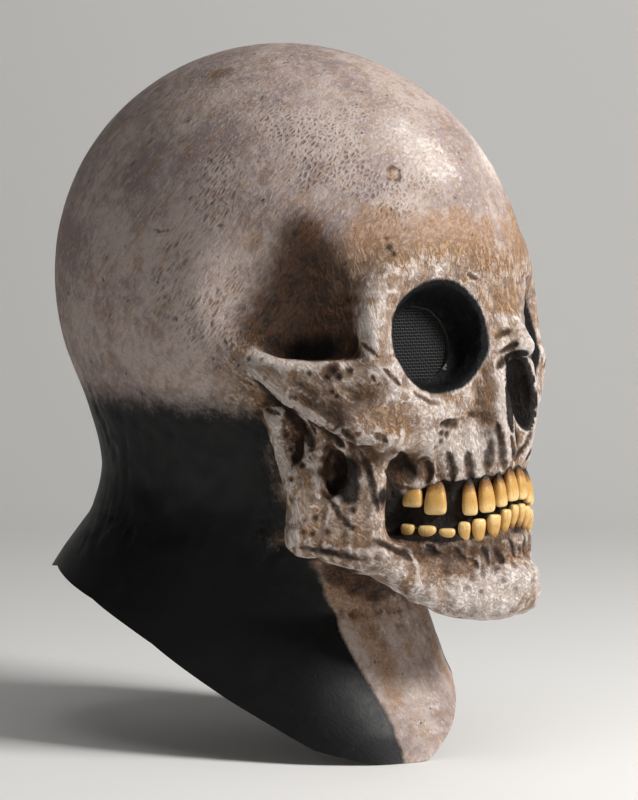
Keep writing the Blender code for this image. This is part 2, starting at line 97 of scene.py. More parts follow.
to_camera = np.array((math.sin(AZIMUTH) * math.cos(ELEVATION), -math.cos(AZIMUTH) * math.cos(ELEVATION),
                      math.sin(ELEVATION)))
picture_right = np.array((math.cos(AZIMUTH), math.sin(AZIMUTH), 0.0))
picture_up = np.cross(to_camera, picture_right)
camera_place = CAMERA_TARGET + to_camera * CAMERA_DISTANCE

lens = bpy.data.cameras.new("camera")
lens.sensor_width = SENSOR
lens.lens = SENSOR * FOCAL_PIXELS / max(PICTURE)
camera = bpy.data.objects.new("camera", lens)
camera.location = Vector(camera_place) * MM
camera.rotation_mode = "QUATERNION"
camera.rotation_quaternion = (-Vector(to_camera)).to_track_quat("-Z", "Y")
bpy.context.scene.collection.objects.link(camera)
bpy.context.scene.camera = camera
print("camera at", [round(value, 3) for value in camera.location], "lens", round(lens.lens, 1))

# %% [markdown]
# ## The form of the casting
# A skull has no flat faces and no simple profile, so it is described as a field: a number at every place in
# space, negative inside the casting and positive outside. Eggs, ropes of bone and upright walls are melted
# together and hollows are cut with soft edges. The same named sizes stand in the CAD source, so that the
# two skins agree. Places are side (X), forward (-Y) and height (Z).

# %% Named columns and sizes
Lump = namedtuple("Lump", "side forward height half_side half_forward half_height")
Bead = namedtuple("Bead", "side forward height radius")
Slab = namedtuple("Slab", "side forward top bottom half_thickness")
Ring = namedtuple("Ring", "height front back half_side")
HemPoint = namedtuple("HemPoint", "forward height")
Tooth = namedtuple("Tooth", "number along width biting_edge root_tip depth")


def table(kind, text):
    """Rows of named columns, written as text: commas between rows, spaces between columns."""
    return [kind(*(float(part) for part in row.split())) for row in text.split(",")]


WALL = 2.2
FORM_STEP = 3.0
FORM_LOW = -357.0
FORM_HIGH = 9.0
FORM_SIDE = 105.0
FORM_FRONT = 159.0
FORM_BACK = -207.0

# The braincase, pitched so that its back is high, and the hollows at the temples
BRAINCASE = Lump(0, 0.5, -114.5, 92.8, 125.4, 116.2)
BRAINCASE_PITCH = -13.2
TEMPLE_HOLLOWS = table(Lump, "109 62 -120 37 46 48, 87 71 -142 17 24 23")
# Soft masses under the face and inside the jaw
FACE_MASSES = table(Lump, "0 76 -150 62 46 48, 0 58 -203 64 42 52, 0 72 -200 50 33 46")
# The brow runs from the middle round the outer side of the eye socket
BROW = table(Bead, """
    0 108 -103 9, 24 107 -103 8, 43 101.5 -103 7.5, 58 96.5 -109 7.5, 66 95 -123 7.5, 67 96 -137 7.5,
    66 99 -150 8""")
# The lower rim of the socket, then up the side of the nose
LOWER_RIM = table(Bead, """
    63 99 -160 8, 47 107.5 -169 7.5, 32 113 -169 7, 21 116.5 -152 6, 16 116 -132 6, 15 112 -114 7""")
# Cheek bone and arch, a leaf of bone that stands on its lower edge
CHEEK_ARCH = table(Slab, """
    81 30 -141 -151 4, 85.5 46 -144 -157 4.5, 84 58 -146 -166 6, 80 70 -147 -173 7, 73 84 -147 -181 8.5,
    64 94 -150 -186 9.5, 53 101 -160 -180 8""")
CHEEK_KNOB = Lump(57, 95, -181, 9.5, 9.5, 11)
CHEEK_ROOT = table(Bead, "57 97 -181 7, 48 100 -180 9, 38 103 -183 10")
NASAL_BRIDGE = table(Bead, "0 109 -107 11, 0 113 -122 10, 0 125 -134 8.5, 0 134.5 -142 5.5")
NASAL_EDGE = table(Bead, "9 120 -132 6.5, 12 126 -150 6, 12.5 129 -169 5.5, 10 126 -188 6")
# Upper jaw: half widths of a rounded block whose middle is JAW_MIDDLE forward
JAW_MIDDLE = 84.0
JAW_POWER = 2.1
UPPER_JAW_TOP = (37.5, 43.0)
UPPER_JAW_EDGE = (42.5, 46.5)
UPPER_JAW_HEIGHTS = (-160.0, -201.5)
UPPER_JAW_SLOPE = 0.20
UPPER_JAW_SLOPE_END = -26.0     # the gum line is level further back than this
CANINE_HOLLOW = Lump(31, 128, -181, 10, 8, 12)
GUM_CORE = (38.5, 45.0)
GUM_HEIGHTS = (-250.0, -175.0)
GUM_BACKING = 8.0         # solid latex behind the tooth roots
GUM_BACK_END = 92.0
# Lower jaw: the body, its rounded lower border and the chin
JAW_BODY = table(Slab, """
    0 123 -229 -262 9, 16 119 -229 -262 9, 30 110 -230 -258 8.5, 41 99 -232 -251 8.5,
    50 87 -234 -245 8.5, 58 70 -236 -240 9""")
JAW_BORDER = table(Bead, """
    0 127.5 -258 11, 14 124 -259 11, 29 113 -257 10, 41 103 -250.5 9.5, 50 93 -242 9, 56 82 -236.5 8,
    60 70 -233 7.5, 63 57 -231.5 8""")
CHIN = Lump(0, 129, -251, 16, 12, 10)
MOUTH_FLOOR = Lump(0, 88, -236, 41, 38, 17)
RAMUS = table(Slab, "69 57 -170 -234 6, 66 65 -168 -236 6.5, 62 77 -174 -238 6.5, 57 88 -190 -238 6")
RAMUS_EDGE = table(Bead, "74 46 -174 6, 72 51 -193 6, 69.5 57 -212 6.5, 68 57 -230 8")
RAMUS_HOLLOWS = table(Lump, "69 73 -199 12 6 11, 78 57 -184 9 4 12")
# Nose opening, one half of it: the wide lower part and the narrow upper part
NOSE_HOLLOWS = table(Lump, "6.5 138 -168 6.5 18 13, 5.5 139 -158 5.5 17 13.5")
# Eye socket: a flat floor with a round hole, and a wall that opens outwards
SOCKET_CENTRE = (35.5, 99.5, -140.0)
SOCKET_AXIS = (0.36, 0.92, 0.18)
SOCKET_FLOOR_RADIUS = 20.0
SOCKET_FLARE = 0.225
EYE_HOLE_RADIUS = 17.3
SCREEN_RADIUS = 19.4
SCREEN_THICKNESS = 0.8
SCREEN_SEAT_DEPTH = 2.2   # behind the socket's floor
SCREEN_CLEARANCE = 0.3    # the gauze ends this far inside the CAD disc and lies this far behind its seat
SCREEN_POCKET_RADIUS = 20.3
# Neck skirt, from the cut edge up into the braincase
NECK = table(Ring, """
    -345 104 -190 91, -325 96 -176 89, -300 80 -158 86.5, -270 67 -137 81, -248 66 -121 75.5,
    -228 66 -104 70, -205 66 -96 66, -180 60 -92 60, -150 50 -80 45""")
NECK_TOP = -140.0
HEM = table(HemPoint, "-140 -262, -100 -256, -60 -267, -20 -285, 20 -308.5, 60 -331, 82 -338, 120 -338")
HEM_RISE_START = -22.0    # the front tongue was trimmed higher towards the wearer's left
HEM_RISE = 0.55
HEM_RISE_LIMIT = 30.0
# Teeth stand on an arch; along is the distance from the middle, measured on the arch
ARCH = (44.5, 51.0)
ARCH_POWER = 2.15
UPPER_TEETH = table(Tooth, """
    1 4.8 8.4 -214.4 -197 6.5, 2 13.1 6.6 -216.6 -200 6.5, 3 21.9 8.4 -218.8 -200.5 7,
    4 31.4 7.6 -219.8 -202.5 7, 5 39.2 6 -219.8 -203.5 7.5, 6 49 11 -220 -201.5 8.5,
    7 60.8 10 -216.8 -202.5 8.5""")
LOWER_TEETH = table(Tooth, """
    1 3.4 5.4 -215.9 -230 6, 2 10 6 -217.6 -232 6, 3 17.8 7.2 -219.6 -234 6.5,
    4 26.7 6.8 -221.2 -236.5 6.5, 5 34.4 6 -222.4 -237.5 6.5, 6 43.1 8 -225 -236 7.5,
    7 53.1 8.8 -223.8 -236 8, 8 63.1 7 -223.4 -235.5 7.5""")
MISSING_TEETH = {"upper_5_right"}

# %% Melting forms together
def soft_union(a, b, blend):
    """Join two forms with a fillet of about the blend size."""
    near = np.maximum(blend - np.abs(a - b), 0.0) / blend
    return np.minimum(a, b) - near * near * blend * 0.25


def soft_overlap(a, b, blend):
    return -soft_union(-a, -b, blend)


def soft_cut(form, hollow, blend):
    return soft_overlap(form, -hollow, blend)


def lump(place, row, pitch=0.0):
    """Signed distance, near enough, to an egg with the row's three half sizes."""
    away = [place[axis] - row[axis] for axis in range(3)]
    if pitch:
        turn = math.radians(pitch)
        away[1:] = (math.cos(turn) * away[1] + math.sin(turn) * away[2],
                    math.cos(turn) * away[2] - math.sin(turn) * away[1])
    near = np.sqrt(sum((gap / half) ** 2 for gap, half in zip(away, row[3:])))
    slope = np.sqrt(sum((gap / half ** 2) ** 2 for gap, half in zip(away, row[3:])))
    return near * (near - 1.0) / np.maximum(slope, 1e-6)


def smooth_rows(rows, pieces=4):
    """More rows on a smooth curve through the given ones."""
    kind = type(rows[0])
    ends = [rows[0]] + list(rows) + [rows[-1]]
    finer = []
    for before, start, end, after in zip(ends, ends[1:], ends[2:], ends[3:]):
        for step in range(pieces):
            t = step / pieces
            weights = (2 * t * t - t - t ** 3, 2 - 5 * t * t + 3 * t ** 3,
                       t + 4 * t * t - 3 * t ** 3, t ** 3 - t * t)
            finer.append(kind(*[0.5 * sum(weight * value for weight, value in zip(weights, values))
                                for values in zip(before, start, end, after)]))
    return finer + [rows[-1]]


def rope(place, beads):
    """A rounded bone that runs through beads of changing radius."""
    beads = smooth_rows(beads)
    form = None
    for start, end in zip(beads, beads[1:]):
        run = np.array(end[:3]) - np.array(start[:3])
        away = [place[axis] - start[axis] for axis in range(3)]
        share = np.clip(sum(a * r for a, r in zip(away, run)) / (run @ run), 0.0, 1.0)
        gap = np.sqrt(sum((a - share * r) ** 2 for a, r in zip(away, run)))
        piece = gap - (start.radius + (end.radius - start.radius) * share)
        form = piece if form is None else np.minimum(form, piece)
    return form


def wall(place, rows, rounding):
    """An upright wall on a path, with its own top, bottom and thickness at each row."""
    rows = smooth_rows(rows)
    nearest = None
    for start, end in zip(rows, rows[1:]):
        run = (end.side - start.side, end.forward - start.forward)
        away = (place[0] - start.side, place[1] - start.forward)
        share = np.clip((away[0] * run[0] + away[1] * run[1]) / (run[0] ** 2 + run[1] ** 2), 0.0, 1.0)
        gap = np.sqrt((away[0] - share * run[0]) ** 2 + (away[1] - share * run[1]) ** 2)
        top, bottom, thick = (start[i] + (end[i] - start[i]) * share for i in (2, 3, 4))
        across = gap - thick + rounding
        upright = np.abs(place[2] - 0.5 * (top + bottom)) - 0.5 * (top - bottom) + rounding
        piece = (np.hypot(np.maximum(across, 0.0), np.maximum(upright, 0.0))
                 + np.minimum(np.maximum(across, upright), 0.0) - rounding)
        nearest = piece if nearest is None else np.minimum(nearest, piece)
    return nearest


def leaf(place, rows):
    """A flat bone with edges rounded by the same radius throughout."""
    return wall(place, rows, 5.0)


def rounded_oval(side, forward, half_side, half_forward, power):
    """Distance from an oval that is squarer than an ellipse when the power is over 2."""
    size = ((np.abs(side) / half_side) ** power + (np.abs(forward) / half_forward) ** power) ** (1.0 / power)
    reach = np.hypot(side, forward) + 1e-6
    return (size - 1.0) * reach / np.maximum(size, 1e-6)

# %% The parts of the skull
def neck_form(place):
    rings = np.array(NECK)
    front, back, half_side = (np.interp(place[2], rings[:, 0], rings[:, column]) for column in (1, 2, 3))
    middle, half_forward = 0.5 * (front + back), 0.5 * (front - back)
    return np.maximum(0.9 * rounded_oval(place[0], place[1] - middle, half_side, half_forward, 2.1),
                      place[2] - NECK_TOP)


def gum_oval(place):
    return rounded_oval(place[0], place[1] - JAW_MIDDLE, *GUM_CORE, JAW_POWER)


def outside_heights(place, heights):
    """How far a place lies below or above a pair of heights; negative between them."""
    return np.maximum(heights[0] - place[2], place[2] - heights[1])


def upper_jaw_form(place):
    """The rounded block that carries the upper teeth, narrower at its top."""
    behind = np.maximum(place[1] - JAW_MIDDLE - UPPER_JAW_EDGE[1], UPPER_JAW_SLOPE_END)
    level = place[2] - behind * UPPER_JAW_SLOPE
    share = np.clip((level - UPPER_JAW_HEIGHTS[1]) / (UPPER_JAW_HEIGHTS[0] - UPPER_JAW_HEIGHTS[1]), 0.0, 1.0)
    half_side, half_forward = (edge + (top - edge) * share ** 2
                               for top, edge in zip(UPPER_JAW_TOP, UPPER_JAW_EDGE))
    form = rounded_oval(place[0], place[1] - JAW_MIDDLE, half_side, half_forward, JAW_POWER)
    form = soft_overlap(form, UPPER_JAW_HEIGHTS[1] - level, 4.0)
    return soft_overlap(form, level - UPPER_JAW_HEIGHTS[0], 8.0)


def socket_places(place):
    """Depth along the socket's axis and distance from it."""
    axis = np.array(SOCKET_AXIS) / np.linalg.norm(SOCKET_AXIS)
    away = [place[i] - SOCKET_CENTRE[i] for i in range(3)]
    depth = sum(a * x for a, x in zip(away, axis))
    reach = np.sqrt(np.maximum(sum(a * a for a in away) - depth ** 2, 0.0))
    return depth, reach


def eye_socket(place):
    depth, reach = socket_places(place)
    wall_radius = SOCKET_FLOOR_RADIUS + SOCKET_FLARE * np.clip(depth, -2.0, 40.0)
    return soft_overlap(reach - wall_radius, -depth, 4.0)


def nose_opening(place):
    lower, upper = (lump(place, row) for row in NOSE_HOLLOWS)
    return soft_union(lower, upper, 5.0)

# %% The whole skull
def skull_form(place):
    """Signed distance, near enough, to the outside of the casting; place holds positive sides only."""
    form = lump(place, BRAINCASE, BRAINCASE_PITCH)
    form = soft_cut(form, lump(place, TEMPLE_HOLLOWS[0]), 12.0)
    form = soft_cut(form, lump(place, TEMPLE_HOLLOWS[1]), 10.0)
    form = soft_union(form, neck_form(place), 26.0)
    for mass in FACE_MASSES:
        form = soft_union(form, lump(place, mass), 11.0)
    for shape, rows, fillet in (
            (rope, BROW, 11.0), (leaf, CHEEK_ARCH, 10.0), (lump, CHEEK_KNOB, 6.0), (rope, LOWER_RIM, 9.0),
            (rope, NASAL_BRIDGE, 8.0), (rope, NASAL_EDGE, 7.0)):
        form = soft_union(form, shape(place, rows), fillet)
    form = soft_union(form, upper_jaw_form(place), 11.0)
    form = soft_union(form, rope(place, CHEEK_ROOT), 6.0)
    form = soft_cut(form, lump(place, CANINE_HOLLOW), 8.0)
    form = soft_union(form, np.maximum(gum_oval(place), outside_heights(place, GUM_HEIGHTS)), 2.0)
    form = soft_union(form, wall(place, JAW_BODY, 4.0), 5.0)
    for shape, rows, fillet in ((rope, JAW_BORDER, 6.0), (lump, CHIN, 5.0), (lump, MOUTH_FLOOR, 12.0),
                                (leaf, RAMUS, 8.0), (rope, RAMUS_EDGE, 5.0)):
        form = soft_union(form, shape(place, rows), fillet)
    for hollow in RAMUS_HOLLOWS:
        form = soft_cut(form, lump(place, hollow), 4.5)
    form = soft_cut(form, eye_socket(place), 3.0)
    return soft_cut(form, nose_opening(place), 2.0)

# %% Sampling and skinning the field
def blurred(values, rounds):
    """Average each grid value with its neighbours, a few times over."""
    for _ in range(rounds):
        for axis in range(3):
            count = values.shape[axis]
            padded = np.pad(values, [(1, 1) if i == axis else (0, 0) for i in range(3)], mode="edge")
            behind, ahead = (np.take(padded, range(start, start + count), axis) for start in (0, 2))
            values = 0.5 * values + 0.25 * (ahead + behind)
    return values


def form_grid():
    """The skull form and the head cavity inside it, sampled on a grid that is mirrored left to right."""
    sides = np.arange(0.0, FORM_SIDE, FORM_STEP)
    forwards = np.arange(FORM_BACK, FORM_FRONT, FORM_STEP)
    heights = np.arange(FORM_LOW, FORM_HIGH, FORM_STEP)
    place = np.meshgrid(sides, forwards, heights, indexing="ij")
    outside = blurred(np.maximum(skull_form(place), FORM_LOW + FORM_STEP - place[2]), 1)
    gum_block = np.maximum(np.maximum(-gum_oval(place) - GUM_BACKING, GUM_BACK_END - place[1]),
                           outside_heights(place, GUM_HEIGHTS))
    inside = np.maximum(outside + WALL, soft_overlap(outside + WALL, -gum_block, 4.0))
    outside, inside = (np.concatenate([grid[:0:-1], grid]) for grid in (outside, inside))
    inside = np.maximum(inside, blurred(np.maximum(inside, blurred(inside, 4)), 2))
    corner = (-sides[-1], forwards[0], heights[0])
    return outside, inside, corner


def skin(values, corner, step):
    """Wrap the grid's negative region in quads, one corner to each cell that the surface crosses."""
    solid = values < 0.0
    cells = tuple(count - 1 for count in values.shape)
    total = np.zeros(cells + (3,))
    hits = np.zeros(cells)
    crossings = []
    for axis in range(3):
        low = tuple(slice(0, -1) if i == axis else slice(None) for i in range(3))
        high = tuple(slice(1, None) if i == axis else slice(None) for i in range(3))
        crossed = solid[low] != solid[high]
        index = np.argwhere(crossed)
        point = index.astype(float)
        point[:, axis] += values[low][crossed] / (values[low][crossed] - values[high][crossed])
        unit = np.eye(3, dtype=int)
        first, second = -unit[(axis + 1) % 3], -unit[(axis + 2) % 3]
        ring = [tuple((index + step_back).T) for step_back in (0 * first, first, first + second, second)]
        for cell in ring:
            np.add.at(hits, cell, 1)
            np.add.at(total, cell, point)
        crossings.append((ring, solid[low][crossed]))
    used = hits > 0
    names = np.full(cells, -1)
    names[used] = np.arange(used.sum())
    corners = total[used] / hits[used][:, None] * step + np.array(corner)
    quads = []
    for ring, starts_solid in crossings:
        quad = np.stack([names[cell] for cell in ring], axis=1)
        quad[~starts_solid] = quad[~starts_solid][:, ::-1]
        quads.append(quad)
    return corners, np.concatenate(quads)

# %% The cut edge and the dental arch
def hem_height(side, forward):
    edge = np.array(HEM)
    rise = HEM_RISE * (side - HEM_RISE_START) * min(max((forward - 20.0) / 60.0, 0.0), 1.0)
    return float(np.interp(forward, edge[:, 0], edge[:, 1])) + min(max(rise, 0.0), HEM_RISE_LIMIT)


def arch_point(along):
    """Place and outward direction on the dental arch at a distance from the middle."""
    turns = np.linspace(0.0, 2.2, 1200)
    sides = ARCH[0] * np.abs(np.sin(turns)) ** (2.0 / ARCH_POWER)
    forwards = ARCH[1] * np.sign(np.cos(turns)) * np.abs(np.cos(turns)) ** (2.0 / ARCH_POWER)
    lengths = np.concatenate([[0.0], np.cumsum(np.hypot(np.diff(sides), np.diff(forwards)))])
    step = 0.5
    side, ahead = np.interp(along, lengths, sides), np.interp(along + step, lengths, sides)
    forward, beyond = np.interp(along, lengths, forwards), np.interp(along + step, lengths, forwards)
    run = np.array((ahead - side, beyond - forward))
    run /= np.linalg.norm(run)
    return np.array((side, JAW_MIDDLE + forward)), np.array((-run[1], run[0]))

# %% [markdown]
# ## Noise and placing by the photograph
# Cloudy noise gives the hand-sculpted unevenness. A mark seen in the photograph is found on the skull by a
# ray through its pixel, and then belongs to the surface. The skull is evaluated on the side that the
# photograph shows, and the other side reads the same marks through a slow wobble, so that the two sides
# are alike but not copies.

# %% Helpers on arrays of points
def folded(points):
    """World points in millimetres as the side, forward and height of the stored half."""
    return np.abs(points[:, 0]), -points[:, 1], points[:, 2]


def field(points):
    return skull_form(folded(points))


def field_slope(points, reach=0.6):
    slope = np.empty_like(points)
    for axis in range(3):
        shift = np.zeros(3)
        shift[axis] = reach
        slope[:, axis] = (field(points + shift) - field(points - shift)) / (2.0 * reach)
    return slope


def cloud(points, size, seed=0):
    """Smooth random values from -1 to 1 in blotches of about the size."""
    spots = points / size + 17.31 * seed
    base = np.floor(spots).astype(np.int64)
    share = spots - base
    share = share * share * (3.0 - 2.0 * share)
    total = np.zeros(len(points))
    for corner in range(8):
        offset = np.array([(corner >> axis) & 1 for axis in range(3)])
        cell = base + offset
        number = (cell[:, 0] * 73856093) ^ (cell[:, 1] * 19349663) ^ (cell[:, 2] * 83492791)
        number = number ^ (seed * 2654435)
        number = ((number ^ (number >> 13)) & 0x7FFFFFFF) * 1274126177 & 0x7FFFFFFF
        number ^= number >> 16
        weight = np.prod(np.where(offset, share, 1.0 - share), axis=1)
        total += weight * ((number & 0xFFFF) / 32767.5 - 1.0)
    return total


def smooth_step(low, high, values):
    share = np.clip((values - low) / (high - low), 0.0, 1.0)
    return share * share * (3.0 - 2.0 * share)


def shown_side(points):
    """The place on the photographed side that each point borrows its marks from."""
    wobble = np.stack([cloud(points, 34.0, seed) for seed in (1, 2, 3)], axis=1)
    share = smooth_step(0.0, 12.0, points[:, 0])[:, None]
    borrowed = points + 5.0 * wobble * share
    borrowed[:, 0] = np.where(points[:, 0] > 0.0, -borrowed[:, 0], points[:, 0])
    return borrowed

# %% [markdown]
# ## Casting a finer skin
# The CAD skin has a few thousand large triangles. The same field is skinned again on a three millimetre
# grid, cut finer where the face is carved, and every corner is moved onto the field, as clay is pressed
# against a template.

# %% Skin the field and refine the face
def refine(net, wanted):
    """Cut every edge in two whose corners are both wanted."""
    net.verts.index_update()
    edges = [edge for edge in net.edges if all(wanted[vert.index] for vert in edge.verts)]
    bmesh.ops.subdivide_edges(net, edges=edges, cuts=1, use_grid_fill=True)
    net.verts.index_update()


def move_corners(net, places):
    """Set every corner's place; faces of more than four sides are then cut into triangles."""
    for vert, place in zip(net.verts, places):
        vert.co = place
    bmesh.ops.triangulate(net, faces=[face for face in net.faces if len(face.verts) > 4])
    net.normal_update()


def wants_detail(points):
    """The face, cheeks and jaws, where the sculpture is deepest."""
    side, forward, height = folded(points)
    front = (forward > 66.0) & (height > -268.0) & (height < -84.0)
    cheek = (side > 46.0) & (forward > 26.0) & (height > -246.0) & (height < -132.0)
    return front | cheek


def sharpen(points, rounds=3):
    """Slide points along the field's slope until they lie on the surface."""
    for _ in range(rounds):
        slope = field_slope(points)
        steep = np.maximum((slope ** 2).sum(axis=1), 0.35)
        step = np.clip(field(points) / steep, -1.2, 1.2)
        keep = points[:, 2] > FORM_LOW + 8.0
        points = points - (step * keep)[:, None] * slope
    return points


outside, inside, grid_corner = form_grid()
skin_points, skin_quads = skin(outside, grid_corner, FORM_STEP)
skin_points[:, 1] *= -1.0
skin_quads = skin_quads[:, ::-1]

casting = bmesh.new()
for place in skin_points:
    casting.verts.new(place)
casting.verts.ensure_lookup_table()
for quad in skin_quads:
    casting.faces.new([casting.verts[i] for i in quad])
refine(casting, wants_detail(skin_points))
move_corners(casting, sharpen(np.array([vert.co for vert in casting.verts])))
form_tree = BVHTree.FromBMesh(casting)
print("casting:", len(casting.verts), "corners,", len(casting.faces), "faces")

# %% [markdown]
# ## Marks in the clay
# The sculptor scored, pitted and grooved the face before it was moulded. Each mark is written down as a
# stroke or a pit at the pixels of the photograph where it runs, with a real width and depth, and a ray takes
# it to the surface. Every corner of the mesh then learns its distance from the nearest stroke. Deep marks
# are pressed into the mesh, and the paint gathers in all of them.

# %% Strokes and pits, in pixels of the photograph
Stroke = namedtuple("Stroke", "width depth path")
Pit = namedtuple("Pit", "u v radius depth")
STROKES_BY_PLACE = {
    "brow and forehead": """
        1.6 1.2  467 273  473.3 277.2  479 280, 1.8 0.8  516 265.3  512.6 276.5""",
    "side of the nose": """
        3.4 1.1  497.5 368  505.6 359  515 353, 2.6 0.8  500 352  509.8 347  518 343,
        2.4 0.7  496 338  504 333  511.9 329.8""",
    "cheek and lower rim": """
        1.4 0.8  361 343  371.4 351  379.8 359.5, 1.6 0.9  383.3 368.6  392.4 376.3  401 386,
        1.2 0.6  371 374.7  375 381.7, 1.7 0.8  413 391.5  421 396.5  429.8 401.4  441 403.5,
        2.6 1.2  374.2 434.4  380 437.5  387 442.5, 1.2 0.6  355 435  361 435""",
    "foramina and cracks under the socket": """
        3.2 1.2  441 425  447.2 422.5  453 423.5  458 427,
        1.4 0.8  450.7 454.7  448.6 463.2  446.5 470.2, 3.4 1.1  400 452  407 463  415 474,
        1.4 0.7  436 474.4  445.8 482.8""",
    "grooves between the tooth roots": """
        3.2 1.1  467 452  470 466  471 480, 3.2 1.2  490 440  488.5 456  487.9 474,
        3.4 1.2  497 424  501 443  504.7 460  506 470, 2.8 1.1  512 436  514 450  516 462,
        3.2 1.1  448 452  451 466  453 482, 2.8 1  428 462  430 472  427 484""",
    "branch of the lower jaw": """
        5 1.2  287 410  294 417  302 426  309 437  313 447, 1.4 0.7  308 419.8  316.6 435,
        4.6 1.2  324 428  334 437  343 447, 3 0.9  341 429  349 438  355 446,
        1.6 0.8  264.7 408.6  272 411  280 414, 3 0.9  360 452  366 464  370 478  373 494  379 512,
        2.4 0.8  385 470  389 484  393 500""",
    "gum lines": """
        3 0.5  398 487  412 490  419 492.6  431.7 489.8  437.4 485  444.4 489.8  454.2 493,
        3 0.5  454.2 493  465.4 491  476.7 487  480.9 483  496.3 482.8  500.5 480,
        2.6 0.4  500.5 480  510.3 475.8  515.9 468  524 465,
        3.8 0.4  396 535  406 537.5  420 539  437 540  455 540  468 542,
        3.8 0.4  468 542  482 541.5  496 540  506 536  516 532  524 527""",
    "crown": """
        1.3 0.7  261.4 91  260.5 99  262.4 104.6, 1.2 0.5  272 66  284 62  295 60,
        1.2 0.5  146 143  157 137, 1.3 0.6  149.5 168.7  159 162,
        1.5 0.7  151.4 228  159 232  171.5 229, 1.3 0.6  100 271  103.6 284.5,
        1.2 0.5  264.3 156  268 168, 1.1 0.5  215 223  230 229""",
    "wrinkles across the throat": """
        2.6 0.15  404 676  422 674  440 668, 2.6 0.15  406 692  425 690  445 682,
        2.6 0.15  408 706  428 704  450 696, 2.6 0.15  410 720  430 718  452 710""",
    "lower jaw": """
        3.4 0.9  426 545  434 551  440 556, 3.6 0.9  494 548  500 556  503 564,
        2.6 0.8  482 546  487 556  489 566, 2.6 0.8  508 538  513 548  515 558,
        3 0.8  455 548  460 556  468 562, 3 0.7  300 548  330 552  360 560,
        3 0.7  372 540  392 548  412 560, 2.4 0.7  330 500  338 516  352 528,
        1.9 0.8  468.2 558.6  474 563  479.5 568.4, 1.4 0.6  512 561.4  517.3 567.7""",
}
STROKES = []
for text in STROKES_BY_PLACE.values():
    for row in text.split(","):
        width, depth, *spots = (float(part) for part in row.split())
        STROKES.append(Stroke(width, depth, list(zip(spots[::2], spots[1::2]))))
# the ring of the round plug on the crown
plug_turns = [turn * math.pi / 8 for turn in range(17)]
STROKES.append(Stroke(1.4, 0.5, [(393 - 7.4 * math.cos(turn), 174 + 7.2 * math.sin(turn))
                                 for turn in plug_turns]))
PITS = table(Pit, """
    388.4 247 1.3 0.6, 392.6 253.3 1.2 0.6, 386 238 0.9 0.4, 455 197 0.9 0.4, 331 369 2.3 1.2,
    337.7 377 1.4 0.8, 349 371 1.2 0.6, 326.5 377 1.3 0.7, 309 373.5 1 0.5, 294.9 398 1 0.5,
    290.7 397.3 0.9 0.5, 332 391.7 1.1 0.5, 336.3 396 1 0.5, 261 358.8 0.9 0.4, 248.6 358.8 0.9 0.4,
    225.4 342.6 0.9 0.4, 441.5 433.5 1.2 0.7, 447.2 434.4 1.3 0.7, 441.6 442 1.2 0.6, 436 448.4 1.1 0.5,
    402.3 553 1.7 0.7, 434 553.7 1.6 0.7, 520 548.8 1.4 0.7, 466.8 588 1.2 0.4, 448 595 1.1 0.4,
    481 592 1 0.4, 503.3 581 1 0.4, 516 589.4 1 0.4, 532.8 581 1.2 0.4, 287 435 1.2 0.6,
    291.4 449 1.1 0.5, 302 465 1.2 0.6, 290.7 478.7 1.1 0.5, 311 449 1.2 0.6, 315 518 1.3 0.6,
    326.5 532 1.4 0.6, 311.7 534 1.2 0.5, 302 532 1.1 0.5, 352.4 510 1.3 0.6, 351.7 528 1.2 0.5,
    230 81 0.9 0.4, 180 267 0.8 0.3, 87 263 0.8 0.3, 191.6 307.5 1 0.4, 176 319 0.9 0.4,
    212.7 324.7 1 0.4, 390 250 0.9 0.4""")
print("marks:", len(STROKES), "strokes and", len(PITS), "pits")

# %% Take the marks to the surface
FAR = 6.0                 # marks are not felt beyond this many of their own half widths


def photo_point(u, v):
    """Where the ray through a pixel of the photograph meets the casting, or nothing."""
    ray = -to_camera * FOCAL_PIXELS
    ray = ray + picture_right * (u - 0.5 * PICTURE[0]) - picture_up * (v - 0.5 * PICTURE[1])
    hit = form_tree.ray_cast(Vector(camera_place), Vector(ray).normalized())[0]
    return None if hit is None else np.array(hit)


def stroke_paths():
    """Every stroke with points of its own in between, so that it bends with the surface."""
    found = []
    for stroke in STROKES:
        path = []
        for (u, v), (next_u, next_v) in zip(stroke.path, stroke.path[1:]):
            for share in (0.0, 0.5):
                path.append(photo_point(u + (next_u - u) * share, v + (next_v - v) * share))
        path.append(photo_point(*stroke.path[-1]))
        path = [place for place in path if place is not None]
        steps = [np.linalg.norm(after - before) for before, after in zip(path, path[1:])]
        if len(path) > 1 and max(steps) < 15.0:
            found.append((stroke, path))
    return found


def nearest_mark(points):
    """For each point: distance from the nearest mark in its half widths, and that mark's depth there."""
    nearest = np.full(len(points), FAR)
    depth = np.zeros(len(points))
    wander = 1.0 + 0.45 * cloud(points, 2.6, 21)
    for stroke, path in placed_strokes:
        half = 0.5 * stroke.width
        low = np.min(path, axis=0) - half * FAR
        high = np.max(path, axis=0) + half * FAR
        near = np.flatnonzero(((points > low) & (points < high)).all(axis=1))
        place = points[near]
        for number, (start, end) in enumerate(zip(path, path[1:])):
            run = end - start
            share = np.clip((place - start) @ run / (run @ run), 0.0, 1.0)
            along = (number + share) / (len(path) - 1)
            taper = 0.35 + 0.65 * np.sqrt(np.maximum(4.0 * along * (1.0 - along), 0.0))
            gap = np.linalg.norm(place - start - share[:, None] * run, axis=1) / half / (taper * wander[near])
            closer = gap < nearest[near]
            nearest[near[closer]] = gap[closer]
            depth[near[closer]] = stroke.depth * taper[closer]
    for pit, middle in placed_pits:
        gap = np.linalg.norm(points - middle, axis=1) / pit.radius
        closer = gap < nearest
        nearest[closer] = gap[closer]
        depth[closer] = pit.depth
    return nearest, depth


